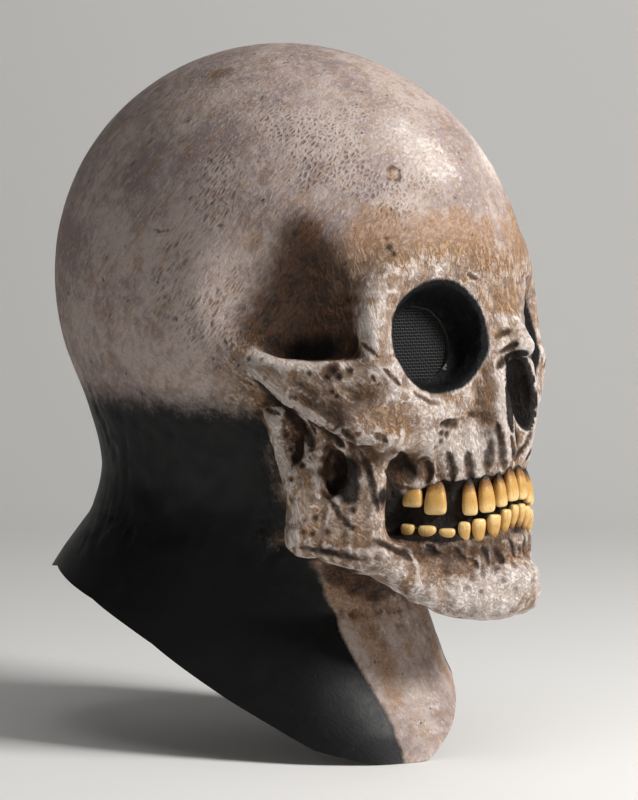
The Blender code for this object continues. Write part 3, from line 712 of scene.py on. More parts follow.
placed_strokes = stroke_paths()
placed_pits = [(pit, photo_point(pit.u, pit.v)) for pit in PITS]
placed_pits = [(pit, middle) for pit, middle in placed_pits if middle is not None]
print("placed:", len(placed_strokes), "strokes and", len(placed_pits), "pits")

# %% [markdown]
# ## Carving
# The mesh is cut once more where a stroke runs, and then every corner moves along its normal: slow waves for
# the uneven clay, a groove with slightly raised lips at every mark, and upright flutes over the tooth
# roots. The carving goes mostly inwards, so that the mask keeps the size of the CAD part.

# %% Refine along the marks and carve
CLOSE_TO_MARK = 2.2
CARVING_LIMITS = (-1.15, 0.45)
CARVING_SHIFT = -0.15


def ridges(points, size, seed):
    """Sharp crests with round valleys between them, as clay has where a tool is dragged through it."""
    return 0.55 - 2.0 * np.abs(cloud(points, size, seed))


def turned(points, angle):
    """The points in axes leaned forward by an angle, so that a squeeze of the third axis runs that way."""
    forward = -points[:, 1]
    return np.stack([points[:, 0], forward * math.cos(angle) - points[:, 2] * math.sin(angle),
                     forward * math.sin(angle) + points[:, 2] * math.cos(angle)], axis=1)


def corner_arrays(net):
    net.normal_update()
    return np.array([vert.co for vert in net.verts]), np.array([vert.normal for vert in net.verts])


def zone(place, **borders):
    """1 inside soft borders and 0 outside; each border is an outer and an inner value of one column."""
    share = 1.0
    for column, values in zip(("side", "forward", "height"), place):
        for name in (column, column + "_2"):
            if name in borders:
                share = share * smooth_step(*borders[name], values)
    return share


for everywhere in (False, True):
    points = corner_arrays(casting)[0]
    marked = (nearest_mark(points)[0] < CLOSE_TO_MARK) & (points[:, 0] < 16.0)
    refine(casting, marked & (everywhere | ~wants_detail(points)))
points, normals = corner_arrays(casting)
points = sharpen(points, 1)

place = folded(points)
face_share = zone(place, forward=(20, 80), height=(-300, -262)) * (1.0 - zone(place, height=(-100, -84)))
upright = zone(place, forward=(92, 108), height=(-176, -186))
branch = zone(place, side=(50, 58), forward=(92, 80), height=(-166, -176), height_2=(-250, -238))
body = zone(place, height=(-232, -240)) * face_share
body *= 1.0 - 0.7 * zone(place, forward=(92, 104), height=(-245, -252))
cheek = zone(place, side=(50, 60), height=(-150, -158), height_2=(-196, -186))
carving = 0.12 * cloud(points, 30.0, 6) + 0.10 * cloud(points, 9.0, 7)
carving += face_share * (0.34 * cloud(points, 15.0, 18) + 0.30 * ridges(points, 8.0, 19)
                         + 0.20 * ridges(points * (1.0, 1.0, 0.7), 4.6, 10))
carving += branch * 0.3 * ridges(points, 4.0, 13)
for share, lean, squeeze, size, seed in (
        (face_share * upright * 0.70, 0.0, 0.26, 6.0, 31), (branch * 0.75, 0.12, 0.30, 5.5, 12),
        (body * 0.55, 1.85, 0.34, 5.0, 14), (cheek * 0.55, 2.2, 0.34, 5.0, 15)):
    spots = turned(points, lean) if lean else points
    carving += share * ridges(spots * (1.0, 1.0, squeeze), size, seed)
gap, mark_depth = nearest_mark(shown_side(points))
lips = np.exp(-((gap - 2.0) / 0.7) ** 2)
carving += mark_depth * (0.22 * lips - np.exp(-gap ** 2))
carving = (np.clip(carving, *CARVING_LIMITS) + CARVING_SHIFT) * smooth_step(-349.0, -345.0, place[2])
move_corners(casting, points + normals * carving[:, None])
print("carved casting:", len(casting.verts), "corners; deepest mark", round(float(-carving.min()), 2), "mm")

# %% [markdown]
# ## Hollowing and trimming
# The inside of the casting is the same field drawn in by the wall thickness and smoothed, as slush-cast
# latex is smoother inside. It is thinned out, because nobody sees its small shapes. Outside and inside
# together are one closed body, and the eye holes and the neck's cut edge are then taken off it with
# Booleans, with slightly uneven cutters, because the real ones are cut by hand with scissors.

# %% The inside and the cutters
CAVITY_SHARE = 0.17
EYE_CUT_SIDES = 96
EYE_PLUG_REACH = (12.0, -14.0)    # before and behind the socket's floor
HEM_CELLS = 120
HEM_SHEET = 240.0
HEM_CUT_LIFT = 0.5
HEM_CUT_DEPTH = 30.0              # the cutter reaches this far below the form


def loose_object(name, mesh):
    piece = bpy.data.objects.new(name, mesh)
    bpy.context.scene.collection.objects.link(piece)
    return piece


def plain_mesh(piece, name):
    """The piece with its modifiers applied, as a new mesh; the piece itself is taken away."""
    seen = piece.evaluated_get(bpy.context.evaluated_depsgraph_get())
    mesh = bpy.data.meshes.new_from_object(seen)
    mesh.name = name
    bpy.data.objects.remove(piece, do_unlink=True)
    return mesh


def inner_mesh():
    """The head cavity's skin. Turning the forward axis round leaves its faces looking into the cavity."""
    points, quads = skin(inside, grid_corner, FORM_STEP)
    points[:, 1] *= -1.0
    mesh = bpy.data.meshes.new("inner_skin")
    mesh.from_pydata([tuple(place) for place in points], [], [tuple(quad) for quad in quads])
    piece = loose_object("inner_skin", mesh)
    thin = piece.modifiers.new("thin out", "DECIMATE")
    thin.ratio = CAVITY_SHARE
    return plain_mesh(piece, "inner_skin")


def net_to_mesh(net, name):
    mesh = bpy.data.meshes.new(name)
    net.to_mesh(mesh)
    net.free()
    return mesh


def bridge(net, rings):
    """Join rings of as many corners each with quads."""
    for lower, upper in zip(rings, rings[1:]):
        for i in range(len(lower)):
            j = (i + 1) % len(lower)
            net.faces.new((lower[i], lower[j], upper[j], upper[i]))


def socket_frame(sign):
    """The middle of one side's socket floor, the socket's axis, and the turn from Z to that axis."""
    middle, axis = (Vector((sign * row[0], -row[1], row[2])) for row in (SOCKET_CENTRE, SOCKET_AXIS))
    axis.normalize()
    return middle, axis, axis.to_track_quat("Z", "Y").to_matrix()


def eye_cutter(sign):
    """A stepped plug: the uneven hole in front and the round seat of the screen behind it."""
    middle, _, turn = socket_frame(sign)
    front, back = EYE_PLUG_REACH
    steps = ((front, EYE_HOLE_RADIUS, 1.0), (-SCREEN_SEAT_DEPTH, EYE_HOLE_RADIUS, 1.0),
             (-SCREEN_SEAT_DEPTH, SCREEN_POCKET_RADIUS, 0.0), (back, SCREEN_POCKET_RADIUS, 0.0))
    angles = np.linspace(0.0, 2.0 * math.pi, EYE_CUT_SIDES, endpoint=False)
    places = np.stack([10.0 * np.cos(angles), 10.0 * np.sin(angles), np.full_like(angles, 5.0 * sign)], 1)
    ragged = cloud(places, 2.6, seed=4)
    plug = bmesh.new()
    rings = []
    for depth, radius, rough in steps:
        reach = radius + rough * 0.55 * ragged
        rings.append([plug.verts.new(middle + turn @ Vector((across, up, depth)))
                      for across, up in zip(reach * np.cos(angles), reach * np.sin(angles))])
    bridge(plug, rings)
    plug.faces.new(rings[0])
    plug.faces.new(rings[-1])
    bmesh.ops.recalc_face_normals(plug, faces=plug.faces[:])
    return loose_object("eye_cutter", net_to_mesh(plug, "eye_cutter"))


def edge_cutter():
    """Everything below the scissor cut round the neck."""
    sheet = bmesh.new()
    bmesh.ops.create_grid(sheet, x_segments=HEM_CELLS, y_segments=HEM_CELLS, size=HEM_SHEET)
    waver = 0.5 * cloud(np.array([vert.co for vert in sheet.verts]), 26.0, seed=5)
    for vert, lift in zip(sheet.verts, waver):
        vert.co.z = hem_height(vert.co.x, -vert.co.y) + HEM_CUT_LIFT + lift
    under = bmesh.ops.extrude_face_region(sheet, geom=sheet.faces[:])
    for item in under["geom"]:
        if isinstance(item, bmesh.types.BMVert):
            item.co.z = FORM_LOW - HEM_CUT_DEPTH
    bmesh.ops.recalc_face_normals(sheet, faces=sheet.faces[:])
    return loose_object("edge_cutter", net_to_mesh(sheet, "edge_cutter"))

# %% Cut the casting
hollow_mesh = inner_mesh()
casting.from_mesh(hollow_mesh)
casting_piece = loose_object("latex_casting", net_to_mesh(casting, "casting"))
cutters = [eye_cutter(-1.0), eye_cutter(1.0), edge_cutter()]
for cutter in cutters:
    cut = casting_piece.modifiers.new("cut", "BOOLEAN")
    cut.operation = "DIFFERENCE"
    cut.solver = "EXACT"
    cut.object = cutter
latex_mesh = plain_mesh(casting_piece, "latex_casting")
for cutter in cutters:
    bpy.data.objects.remove(cutter, do_unlink=True)
print("cut casting:", len(latex_mesh.vertices), "corners,", len(latex_mesh.polygons), "faces")

# %% [markdown]
# ## What the paint needs to know
# The painter works by feeling: dark wash stays in hollows, a dry brush catches ridges, black paint ends at a
# masked edge on the neck. So each corner of the finished mesh gets numbers for the paint: how deep it lies
# in a recess, how far it is from a mark, from the neck's paint edge, from the middle of each stain and from
# the middle of each patch of painted shade and painted highlight.

# %% Stains and edges, in pixels of the photograph
# Net is where small dents crowd together and the paint makes a pale net between them.
Stain = namedtuple("Stain", "u v radius strength")
STAINS = {
    "tan": table(Stain, """
        380 225 13 0.8, 430 235 14 0.7, 480 250 12 0.8, 400 262 9 0.6, 502.8 300 7 1, 460 215 9 0.5,
        505 262 6 0.7, 275 450 5 1, 287 500 6 1, 290 540 6 0.9, 262 400 6 0.7, 340 360 8 0.6, 385 425 8 0.5,
        405 478 6 0.9, 432 478 5 0.7, 510 566 9 0.8, 470 556 9 0.6, 430 548 8 0.6, 395 545 9 0.6,
        216 76 7 0.6, 260 60 9 0.4, 308 231 6 0.9, 318 271 7 0.8, 250 240 9 0.5, 370 640 10 0.4,
        390 680 8 0.5, 500 455 6 0.5, 310 400 9 0.5, 330 545 10 0.5, 393 174 3.2 1, 335 590 9 0.8,
        365 620 9 0.7, 385 660 9 0.7, 405 610 7 0.5, 350 605 8 0.6, 410 650 6 0.5, 395 700 8 0.6,
        425 730 7 0.5, 365 590 7 0.5, 440 420 8 0.5, 400 430 7 0.6, 380 415 7 0.5, 495 400 6 0.7,
        490 385 5 0.6, 350 300 6 0.5, 360 260 8 0.7, 365 235 8 0.7, 455 240 10 0.6, 490 225 8 0.5"""),
    # dark: painted shade under the cheek bone, along the jaw under the teeth and in the temple hollows, mixed
    # with brown wash
    "dark": table(Stain, """
        358 398.6 5.5 0.6, 372 395 5 0.6, 330.7 408.6 9 0.7, 342 425 8 0.6, 312 398 7 0.6, 326 340 14 0.95,
        322 300 15 0.9, 318 262 14 0.85, 300 230 12 0.7, 300 275 18 0.8, 270 315 14 0.75, 290 345 12 0.9,
        252 335 9 0.6, 340 310 6 0.8, 341 340 6 0.8, 336 270 6 0.7, 410 468 9 0.8, 348 478 7 0.8,
        384 500 5 0.9, 398 478 5 0.7, 410 545 7 0.75, 430 550 7 0.75, 452 550 7 0.75, 472 550 6 0.7,
        490 548 6 0.7, 505 545 5 0.6, 500 562 6 0.5, 390 535 7 0.7, 437 470 5 0.5, 330 448 6 0.6,
        300 428 6 0.6, 318 470 6 0.4, 364 470 6 0.5, 372 505 6 0.4, 372 455 6 0.7, 390 455 5 0.6,
        216 76 7 0.5, 228 70 5 0.4, 145 150 6 0.3, 250 165 7 0.2, 296 386 6 0.5, 346 372 5 0.5,
        330 372 5 0.6, 456 570 7 0.4, 330 548 7 0.4, 360 548 7 0.5, 385 560 7 0.4, 380 590 9 0.7,
        350 580 8 0.6, 410 598 6 0.6, 385 645 5 0.5, 375 632 5 0.4, 350 570 6 0.7, 330 572 5 0.6"""),
    # black: painted deep shadow in the temple hollows, the holes of the jaw branch, the mouth corners, the
    # small holes under the sockets, the far side of the nose opening and along the lower gum
    "black": table(Stain, """
        326 350 9 0.8, 300 352 8 0.7, 270 345 6 0.5, 348 466 6 0.9, 347 484 6.5 0.95, 350 496 5 0.8,
        384 496 4.5 0.95, 386 508 4.5 0.95, 392 520 4.5 0.9, 394 490 4.5 0.9, 396 532 4 0.7, 404 464 5 0.7,
        414 474 4 0.6, 448 425 2.6 0.9, 378 437 2.3 0.7, 446 437 2.2 0.5, 334 372 3 0.5, 330 437 3.5 0.6,
        302 425 3.5 0.6, 398 500 3.5 0.95, 398 512 3.5 0.95, 516 395 7 0.95, 515 365 5 0.9, 518 378 6 0.9,
        405 533 3 0.8, 420 540 2.5 0.7, 440 543 2.5 0.7, 465 546 2.5 0.6"""),
    # pale: painted highlights where the light falls brightest, on the chin, brow, forehead, upper jaw, cheek
    # rim and throat
    "pale": table(Stain, """
        495 590 9 0.9, 475 588 7 0.7, 520 582 7 0.9, 455 590 6 0.5, 535 575 5 0.7, 440 268 6 0.6,
        415 272 5 0.6, 470 290 5 0.7, 478 450 5 0.7, 494 452 5 0.7, 507 455 4 0.7, 455 440 6 0.6,
        430 418 6 0.6, 395 395 6 0.6, 362 325 5 0.7, 372 345 5 0.6, 345 385 4 0.5, 410 445 5 0.6,
        366 480 4 0.7, 376 440 4 0.4, 525 345 4 0.8, 505 320 5 0.7, 512 345 4 0.5, 420 585 6 0.4,
        400 570 6 0.4, 428 620 4 0.9, 430 645 4 0.8, 420 600 5 0.6, 435 700 7 0.5, 410 720 7 0.4,
        400 130 18 0.6, 440 165 16 0.7, 500 594 13 0.9, 478 600 10 0.8, 515 578 8 0.6, 455 597 8 0.6,
        445 455 8 0.6, 470 432 8 0.5, 425 446 6 0.5, 480 462 7 0.5, 429 604 4 0.8, 430 626 5 0.8,
        425 655 8 0.6, 438 680 8 0.6, 452 446 10 0.6, 486 438 9 0.6, 430 432 8 0.5, 415 690 8 0.5,
        465 410 9 0.4, 440 400 7 0.4, 430 722 8 0.5, 408 625 7 0.4"""),
    "net": table(Stain, """
        325 145 17 0.9, 350 175 12 0.7, 218 165 12 0.7, 214 205 12 0.8, 385 197 9 0.8, 205 325 16 1,
        225 350 10 0.9, 300 130 12 0.6, 160 290 14 0.5, 270 120 12 0.6, 420 180 10 0.6, 240 280 10 0.6,
        400 215 10 0.5, 360 110 10 0.5, 180 250 14 0.5, 300 180 9 0.6"""),
}
# The edge of the black neck paint, from the nape round the jaw to the cut edge
NECK_EDGE = [
    (66, 392), (150, 396), (215, 402), (258, 410), (268, 432), (275, 462), (283, 500), (286, 524), (281, 540),
    (295, 553), (312, 563), (319.7, 575), (327.4, 601), (339.6, 628.8), (352, 655), (367, 681),
    (382.5, 708.5), (393, 727), (401, 750),
]


def stain_sum(points, stains):
    """How strongly the nearest stains reach each point, from 0 to 1."""
    clear = np.ones(len(points))
    for stain in stains:
        middle = photo_point(stain.u, stain.v)
        if middle is None:
            continue
        gap = np.linalg.norm(points - middle, axis=1) / stain.radius
        clear *= 1.0 - stain.strength * np.exp(-gap ** 2)
    return 1.0 - clear


def paint_edge_distance(points):
    """Signed distance in the side view from the neck's paint edge; positive is black."""
    spots = [photo_point(u, v) for u, v in NECK_EDGE]
    edge = [(-spot[1], spot[2]) for spot in spots if spot is not None]
    edge = [(-400.0, edge[0][1])] + edge + [(edge[-1][0] + 30.0, -420.0)]
    ring = edge + [(-400.0, -420.0)]
    _, forward, height = folded(points)
    gap = np.full(len(points), 1e9)
    for (a, b), (c, d) in zip(edge, edge[1:]):
        run = (c - a, d - b)
        share = ((forward - a) * run[0] + (height - b) * run[1]) / (run[0] ** 2 + run[1] ** 2)
        share = np.clip(share, 0.0, 1.0)
        gap = np.minimum(gap, np.hypot(forward - a - share * run[0], height - b - share * run[1]))
    black = np.zeros(len(points), bool)
    for (a, b), (c, d) in zip(ring, ring[1:] + ring[:1]):
        crosses = (b > height) != (d > height)
        black ^= crosses & (forward < a + (c - a) * (height - b) / (d - b if d != b else 1e-9))
    return np.where(black, gap, -gap)

# %% Write the paint numbers on the mesh
def mesh_points(mesh):
    flat = np.zeros(len(mesh.vertices) * 3)
    mesh.vertices.foreach_get("co", flat)
    return flat.reshape(-1, 3)


def rise_over_average(mesh, outward, rounds):
    """How far each corner stands out of the smoothed surface round it; more rounds smooth more widely."""
    ends = np.zeros(len(mesh.edges) * 2, np.int64)
    mesh.edges.foreach_get("vertices", ends)
    first, second = ends.reshape(-1, 2).T
    place = mesh_points(mesh)
    smooth = place.copy()
    count = np.bincount(ends, minlength=len(place))
    for _ in range(rounds):
        for axis in range(3):
            total = np.bincount(first, smooth[second, axis], len(place))
            total += np.bincount(second, smooth[first, axis], len(place))
            smooth[:, axis] = 0.5 * smooth[:, axis] + 0.5 * total / np.maximum(count, 1)
    return ((place - smooth) * outward).sum(axis=1)


points = mesh_points(latex_mesh)
place = folded(points)
slope = field_slope(points)
outward = slope / np.maximum(np.linalg.norm(slope, axis=1), 1e-6)[:, None]
depth = field(points)
borrowed = shown_side(points)
mark_gap, mark_depth = nearest_mark(borrowed)


def enclosed(reach):
    """0 where the field rises as fast as the distance out to the reach, towards 1 in a tight hollow."""
    return np.clip(1.0 - (field(points + reach * outward) - depth) / reach, 0.0, 1.0)


on_face = np.maximum(zone(place, forward=(40, 76), height=(-290, -262), height_2=(-84, -104)),
                     zone(place, forward=(14, 34), height=(-246, -236), height_2=(-128, -142)))
along_jaw = np.maximum(zone(place, height=(-228, -238), forward=(28, 40)),
                       zone(place, height=(-205, -212), forward=(96, 86), forward_2=(60, 68)))
eye_depth, eye_reach = socket_places(place)
in_eye = smooth_step(26.0, 19.0, eye_reach - SOCKET_FLARE * np.clip(eye_depth, 0.0, 40.0))
gum_gap = gum_oval(place)
gum = smooth_step(3.0, 0.6, np.abs(gum_gap))
gum = gum * zone(place, forward=(58, 68), height=(-239, -233), height_2=(-199, -205))
shelf = smooth_step(9.0, 6.5, gum_gap)
shelf = shelf * zone(place, forward=(56, 66), height=(-241, -237), height_2=(-218, -222))
paint_numbers = {
    "mark": mark_gap,
    "mark_near": smooth_step(0.05, 0.75, mark_depth) * (1.0 - smooth_step(3.0, FAR - 0.5, mark_gap)),
    "recess": enclosed(3.0),
    "hollow": enclosed(9.0),
    "ridge": np.clip(1.0 + (field(points - 3.0 * outward) - depth) / 3.0, 0.0, 1.0),
    "rise_fine": np.clip(rise_over_average(latex_mesh, outward, 4), -3.0, 3.0),
    "rise_broad": np.clip(rise_over_average(latex_mesh, outward, 30), -3.0, 3.0),
    "neck_edge": np.clip(paint_edge_distance(points), -60.0, 60.0),
    "neck_soft": 1.0 + 13.0 * (1.0 - zone(place, forward=(20, 56))),
    "face": on_face,
    "along_jaw": along_jaw,
    "round_cheek": zone(place, side=(38, 48), height=(-140, -148), height_2=(-192, -184)),
    "eye_black": in_eye * smooth_step(-14.0, -8.0, eye_depth),
    "nose_black": smooth_step(2.5, 0.5, nose_opening(place)),
    "gum_black": np.maximum(gum, shelf * smooth_step(0.25, 0.7, outward[:, 2])),
}
for name, stains in STAINS.items():
    paint_numbers[name] = stain_sum(borrowed, stains)
for name, values in paint_numbers.items():
    attribute = latex_mesh.attributes.new(name, "FLOAT", "POINT")
    attribute.data.foreach_set("value", values.astype(np.float32))
print("paint numbers:", list(paint_numbers))

# %% [markdown]
# ## Node maths in Python
# A painted material is a long sum. Writing it as a sum keeps it readable: a small class wraps a socket, and
# every operator on it adds one Math node. All other nodes come from one method of the tree class.

# %% Trees and values
def srgb(red, green, blue):
    """A colour as read from a screen, from 0 to 255, to the linear numbers that shaders use."""
    return tuple(part / 12.92 if part <= 0.04045 else ((part + 0.055) / 1.055) ** 2.4
                 for part in (red / 255.0, green / 255.0, blue / 255.0))


class Tree:
    """Adds nodes to a node tree: a type, its settings, then the values or links of its sockets."""

    def __init__(self, tree):
        self.tree = tree

    def node(self, kind, settings=None, *values, **named):
        made = self.tree.nodes.new(kind)
        for name, value in (settings or {}).items():
            setattr(made, name, value)
        for socket, value in [(made.inputs[i], value) for i, value in enumerate(values)] + [
                (made.inputs[name.replace("_", " ")], value) for name, value in named.items()]:
            if value is None:
                continue
            if isinstance(value, Value):
                value = value.socket
            if isinstance(value, bpy.types.NodeSocket):
                self.tree.links.new(value, socket)
            else:
                socket.default_value = value
        return made


class Value:
    """A number in a node tree. Python's operators on it add Math nodes."""

    def __init__(self, add, socket):
        self.add = add
        self.socket = socket

    def maths(self, operation, *others):
        made = self.add.node("ShaderNodeMath", {"operation": operation}, self, *others)
        return Value(self.add, made.outputs[0])

    __add__ = __radd__ = lambda self, other: self.maths("ADD", other)
    __mul__ = __rmul__ = lambda self, other: self.maths("MULTIPLY", other)
    __sub__ = lambda self, other: self.maths("SUBTRACT", other)
    __rsub__ = lambda self, other: -self + other
    __truediv__ = lambda self, other: self.maths("DIVIDE", other)
    __pow__ = lambda self, other: self.maths("POWER", other)
    __neg__ = lambda self: self.maths("MULTIPLY", -1.0)
    __abs__ = lambda self: self.maths("ABSOLUTE")


class Paint(Tree):
    """A material's nodes in a painter's terms: mottling, steps, layers of colour."""

    def __init__(self, name):
        self.material = bpy.data.materials.new(name)
        self.material.use_nodes = True
        super().__init__(self.material.node_tree)
        self.shader = self.tree.nodes["Principled BSDF"]
        self.place = self.node("ShaderNodeTexCoord").outputs["Object"]

    def number(self, name):
        return Value(self, self.node("ShaderNodeAttribute", {"attribute_name": name}).outputs["Fac"])

    def stretched(self, along, turn=(0.0, 0.0, 0.0)):
        """Coordinates squeezed in some directions, so that noise on them runs in streaks."""
        return self.node("ShaderNodeMapping", {"vector_type": "TEXTURE"}, Vector=self.place, Rotation=turn,
                         Scale=along).outputs[0]

    def noise(self, size, detail=2.0, roughness=0.5, place=None, distortion=0.0):
        """Mottling in blotches of about the size, in millimetres, from 0 to 1."""
        made = self.node("ShaderNodeTexNoise", None, Vector=place or self.place, Scale=1.0 / (size * MM),
                         Detail=detail, Roughness=roughness, Distortion=distortion)
        return Value(self, made.outputs[0])

    def cells(self, size, place, feature="F1"):
        made = self.node("ShaderNodeTexVoronoi", {"feature": feature}, Vector=place, Scale=1.0 / (size * MM))
        return Value(self, made.outputs["Distance"])

    def step(self, value, low, high):
        """0 below low, 1 above high and smooth between; low may be the larger."""
        flip = low > high
        made = self.node("ShaderNodeMapRange", {"interpolation_type": "SMOOTHSTEP"}, value, min(low, high),
                         max(low, high), 0.0, 1.0)
        result = Value(self, made.outputs[0])
        return 1.0 - result if flip else result

    def layer(self, under, over, share):
        """Lay one colour over another; a colour is three numbers from 0 to 255, or a socket."""
        made = self.node("ShaderNodeMix", {"data_type": "RGBA"}, share, None, None, None, None, None,
                         *[(*srgb(*colour), 1.0) if isinstance(colour, tuple) else colour
                           for colour in (under, over)])
        return made.outputs[2]

    def coat(self, over, share):
        """Lay a colour over all that is painted so far."""
        self.colour = self.layer(self.colour, over, share)

    def finish(self, roughness, relief, strength, distance, **fixed):
        """Link the colour, the roughness and a bump of the relief, and set what is the same all over."""
        bump = self.node("ShaderNodeBump", None, Strength=strength, Distance=distance * MM, Height=relief)
        for name, socket in (("Base Color", self.colour), ("Roughness", roughness.socket),
                             ("Normal", bump.outputs[0])):
            self.tree.links.new(socket, self.shader.inputs[name])
        for name, value in fixed.items():
            self.shader.inputs[name.replace("_", " ")].default_value = value
        return self.material

# %% [markdown]
# ## Teeth
# Each tooth is a hard insert of its own. It is lofted from rings, from the root's rounded tip to the biting
# edge, on the same places, widths and heights as the CAD teeth, which it replaces. Upper teeth widen
# towards the bite and lower teeth narrow towards the root, and no two are quite alike.

# %% Loft one tooth
ToothRing = namedtuple("ToothRing", "share width depth")
TOOTH_RINGS = table(ToothRing, """
    0 0.18 0.18, 0.03 0.38 0.38, 0.09 0.52 0.54, 0.18 0.63 0.68, 0.32 0.76 0.84, 0.5 0.9 0.96,
    0.68 1 0.98, 0.84 1 0.87, 0.93 0.95 0.7, 0.98 0.82 0.5, 1 0.56 0.28""")
TOOTH_ROUND = 20
TOOTH_LEAN = 3.0          # root tips stand this far behind the biting edge
TOOTH_WEDGE = 0.15        # a tooth is wider at its front than at its back
FIRST_MOLAR = 6


def rounded(value, power):
    return math.copysign(abs(value) ** power, value)


def tooth_mesh(name, tooth, sign):
    place, outward = arch_point(tooth.along)
    along_arch = np.array((outward[1], -outward[0]))
    length = tooth.biting_edge - tooth.root_tip
    loft = bmesh.new()
    loops = []
    for row in TOOTH_RINGS:
        middle = place - outward * (0.5 * tooth.depth + TOOTH_LEAN * (1.0 - row.share))
        loop = []
        for corner in range(TOOTH_ROUND):
            turn = 2.0 * math.pi * corner / TOOTH_ROUND
            across = rounded(math.cos(turn), 0.8) * (1.0 + TOOTH_WEDGE * math.sin(turn))
            spot = (middle + along_arch * 0.5 * tooth.width * row.width * across
                    + outward * 0.5 * tooth.depth * row.depth * rounded(math.sin(turn), 0.8))
            loop.append(loft.verts.new((sign * spot[0], -spot[1], tooth.root_tip + row.share * length)))
        loops.append(loop)
    bridge(loft, loops)
    for loop in (loops[0], loops[-1]):
        middle = loft.verts.new(sum((vert.co for vert in loop), Vector()) / len(loop))
        for i in range(TOOTH_ROUND):
            loft.faces.new((middle, loop[i], loop[(i + 1) % TOOTH_ROUND]))
    bmesh.ops.recalc_face_normals(loft, faces=loft.faces[:])
    spots = np.array([vert.co for vert in loft.verts])
    share = (spots[:, 2] - tooth.root_tip) / length
    seed = sum(ord(letter) for letter in name)
    lumps = 0.16 * cloud(spots + seed, 2.4) + 0.10 * cloud(spots + seed, 1.1, 2)
    if tooth.number >= FIRST_MOLAR:
        lumps = lumps - 0.5 * smooth_step(0.86, 1.0, share)
    loft.normal_update()
    for vert, lift in zip(loft.verts, np.minimum(lumps, 0.12) - 0.12):
        vert.co = (vert.co + vert.normal * lift) * MM
    mesh = net_to_mesh(loft, name)
    mesh.attributes.new("bite", "FLOAT", "POINT").data.foreach_set("value", share.astype(np.float32))
    mesh.shade_smooth()
    return mesh

# %% Set the teeth
teeth = {}
for side_name, sign in (("left", 1.0), ("right", -1.0)):
    for jaw, row in (("upper", UPPER_TEETH), ("lower", LOWER_TEETH)):
        for tooth in row:
            name = f"{jaw}_{tooth.number:.0f}_{side_name}"
            if name in MISSING_TEETH:
                continue
            piece = loose_object("enamel_" + name, tooth_mesh("tooth_" + name, tooth, sign))
            subdivided = piece.modifiers.new("smooth", "SUBSURF")
            subdivided.levels = subdivided.render_levels = 1
            teeth["tooth_" + name] = piece
print("teeth:", len(teeth))

# %% [markdown]
# ## Eye screens
# Behind each eye hole sits a round of open woven gauze that the wearer looks through. Weaving is repetition,
# so Geometry Nodes make it: one straight thread is copied across at a fixed spacing, once for each
# direction, and a cosine of both coordinates lifts every thread over one neighbour and under the next.

# %% A node tree for a round of weave
WEAVE_SIZES = {
    "Radius": SCREEN_RADIUS - SCREEN_CLEARANCE,
    "Across": 1.25,               # spacing of the upright threads
    "Down": 1.45,                 # spacing of the level threads
    "Thread": 0.40,               # radius of a thread
    "Lift": 0.30,                 # how far a thread goes over its neighbour
}
THREAD_STEP = 0.6             # between two corners of a thread


def weave_tree():
    tree = bpy.data.node_groups.new("round of weave", "GeometryNodeTree")
    tree.is_modifier = True
    sockets = [("Geometry", "INPUT", "Geometry"), ("Finish", "INPUT", "Material")]
    sockets += [(size, "INPUT", "Float") for size in WEAVE_SIZES] + [("Geometry", "OUTPUT", "Geometry")]
    for name, way, kind in sockets:
        tree.interface.new_socket(name, in_out=way, socket_type="NodeSocket" + kind)
    add = Tree(tree)

    def made(kind, settings=None, *values, **named):
        return add.node(kind, settings, *values, **named).outputs[0]

    def vector(upright, value):
        """A step along Y for an upright thread, and along X for a level one."""
        return made("ShaderNodeCombineXYZ", None, *((0.0, value) if upright else (value, 0.0)))

    given = add.node("NodeGroupInput").outputs
    radius, across, down, lift = (Value(add, given[name]) for name in ("Radius", "Across", "Down", "Lift"))
    place = add.node("ShaderNodeSeparateXYZ", None, made("GeometryNodeInputPosition")).outputs
    x, y = Value(add, place[0]), Value(add, place[1])
    wave = (x / across * math.pi).maths("COSINE") * (y / down * math.pi).maths("COSINE") * lift
    beyond = ((x * x + y * y) ** 0.5).maths("GREATER_THAN", radius)
    profile = made("GeometryNodeCurvePrimitiveCircle", {"mode": "RADIUS"}, Resolution=5,
                   Radius=given["Thread"])
    points = (radius * (2.0 / (THREAD_STEP * MM))).maths("ROUND") + 1.0
    joined = add.node("GeometryNodeJoinGeometry")
    for upright, spacing in ((True, across), (False, down)):
        half_count = (radius / spacing).maths("CEIL")
        thread = made("GeometryNodeMeshLine", {"mode": "OFFSET"}, Count=points,
                      Start_Location=vector(upright, -radius), Offset=vector(upright, THREAD_STEP * MM))
        rows = made("GeometryNodeMeshLine", {"mode": "OFFSET"}, Count=half_count * 2.0 + 1.0,
                    Start_Location=vector(not upright, -(half_count * spacing)),
                    Offset=vector(not upright, spacing))
        copies = made("GeometryNodeInstanceOnPoints", None, Points=rows, Instance=thread)
        threads = made("GeometryNodeRealizeInstances", None, Geometry=copies)
        threads = made("GeometryNodeDeleteGeometry", {"domain": "POINT"}, Geometry=threads, Selection=beyond)
        rise = made("ShaderNodeCombineXYZ", None, 0.0, 0.0, -wave if upright else wave)
        threads = made("GeometryNodeSetPosition", None, Geometry=threads, Offset=rise)
        threads = made("GeometryNodeMeshToCurve", None, Mesh=threads)
        tube = made("GeometryNodeCurveToMesh", None, Curve=threads, Profile_Curve=profile, Fill_Caps=True)
        tree.links.new(tube, joined.inputs[0])
    whole = made("GeometryNodeRealizeInstances", None, Geometry=joined.outputs[0])
    painted = made("GeometryNodeSetMaterial", None, Geometry=whole, Material=given["Finish"])
    add.node("NodeGroupOutput", None, painted)
    return tree

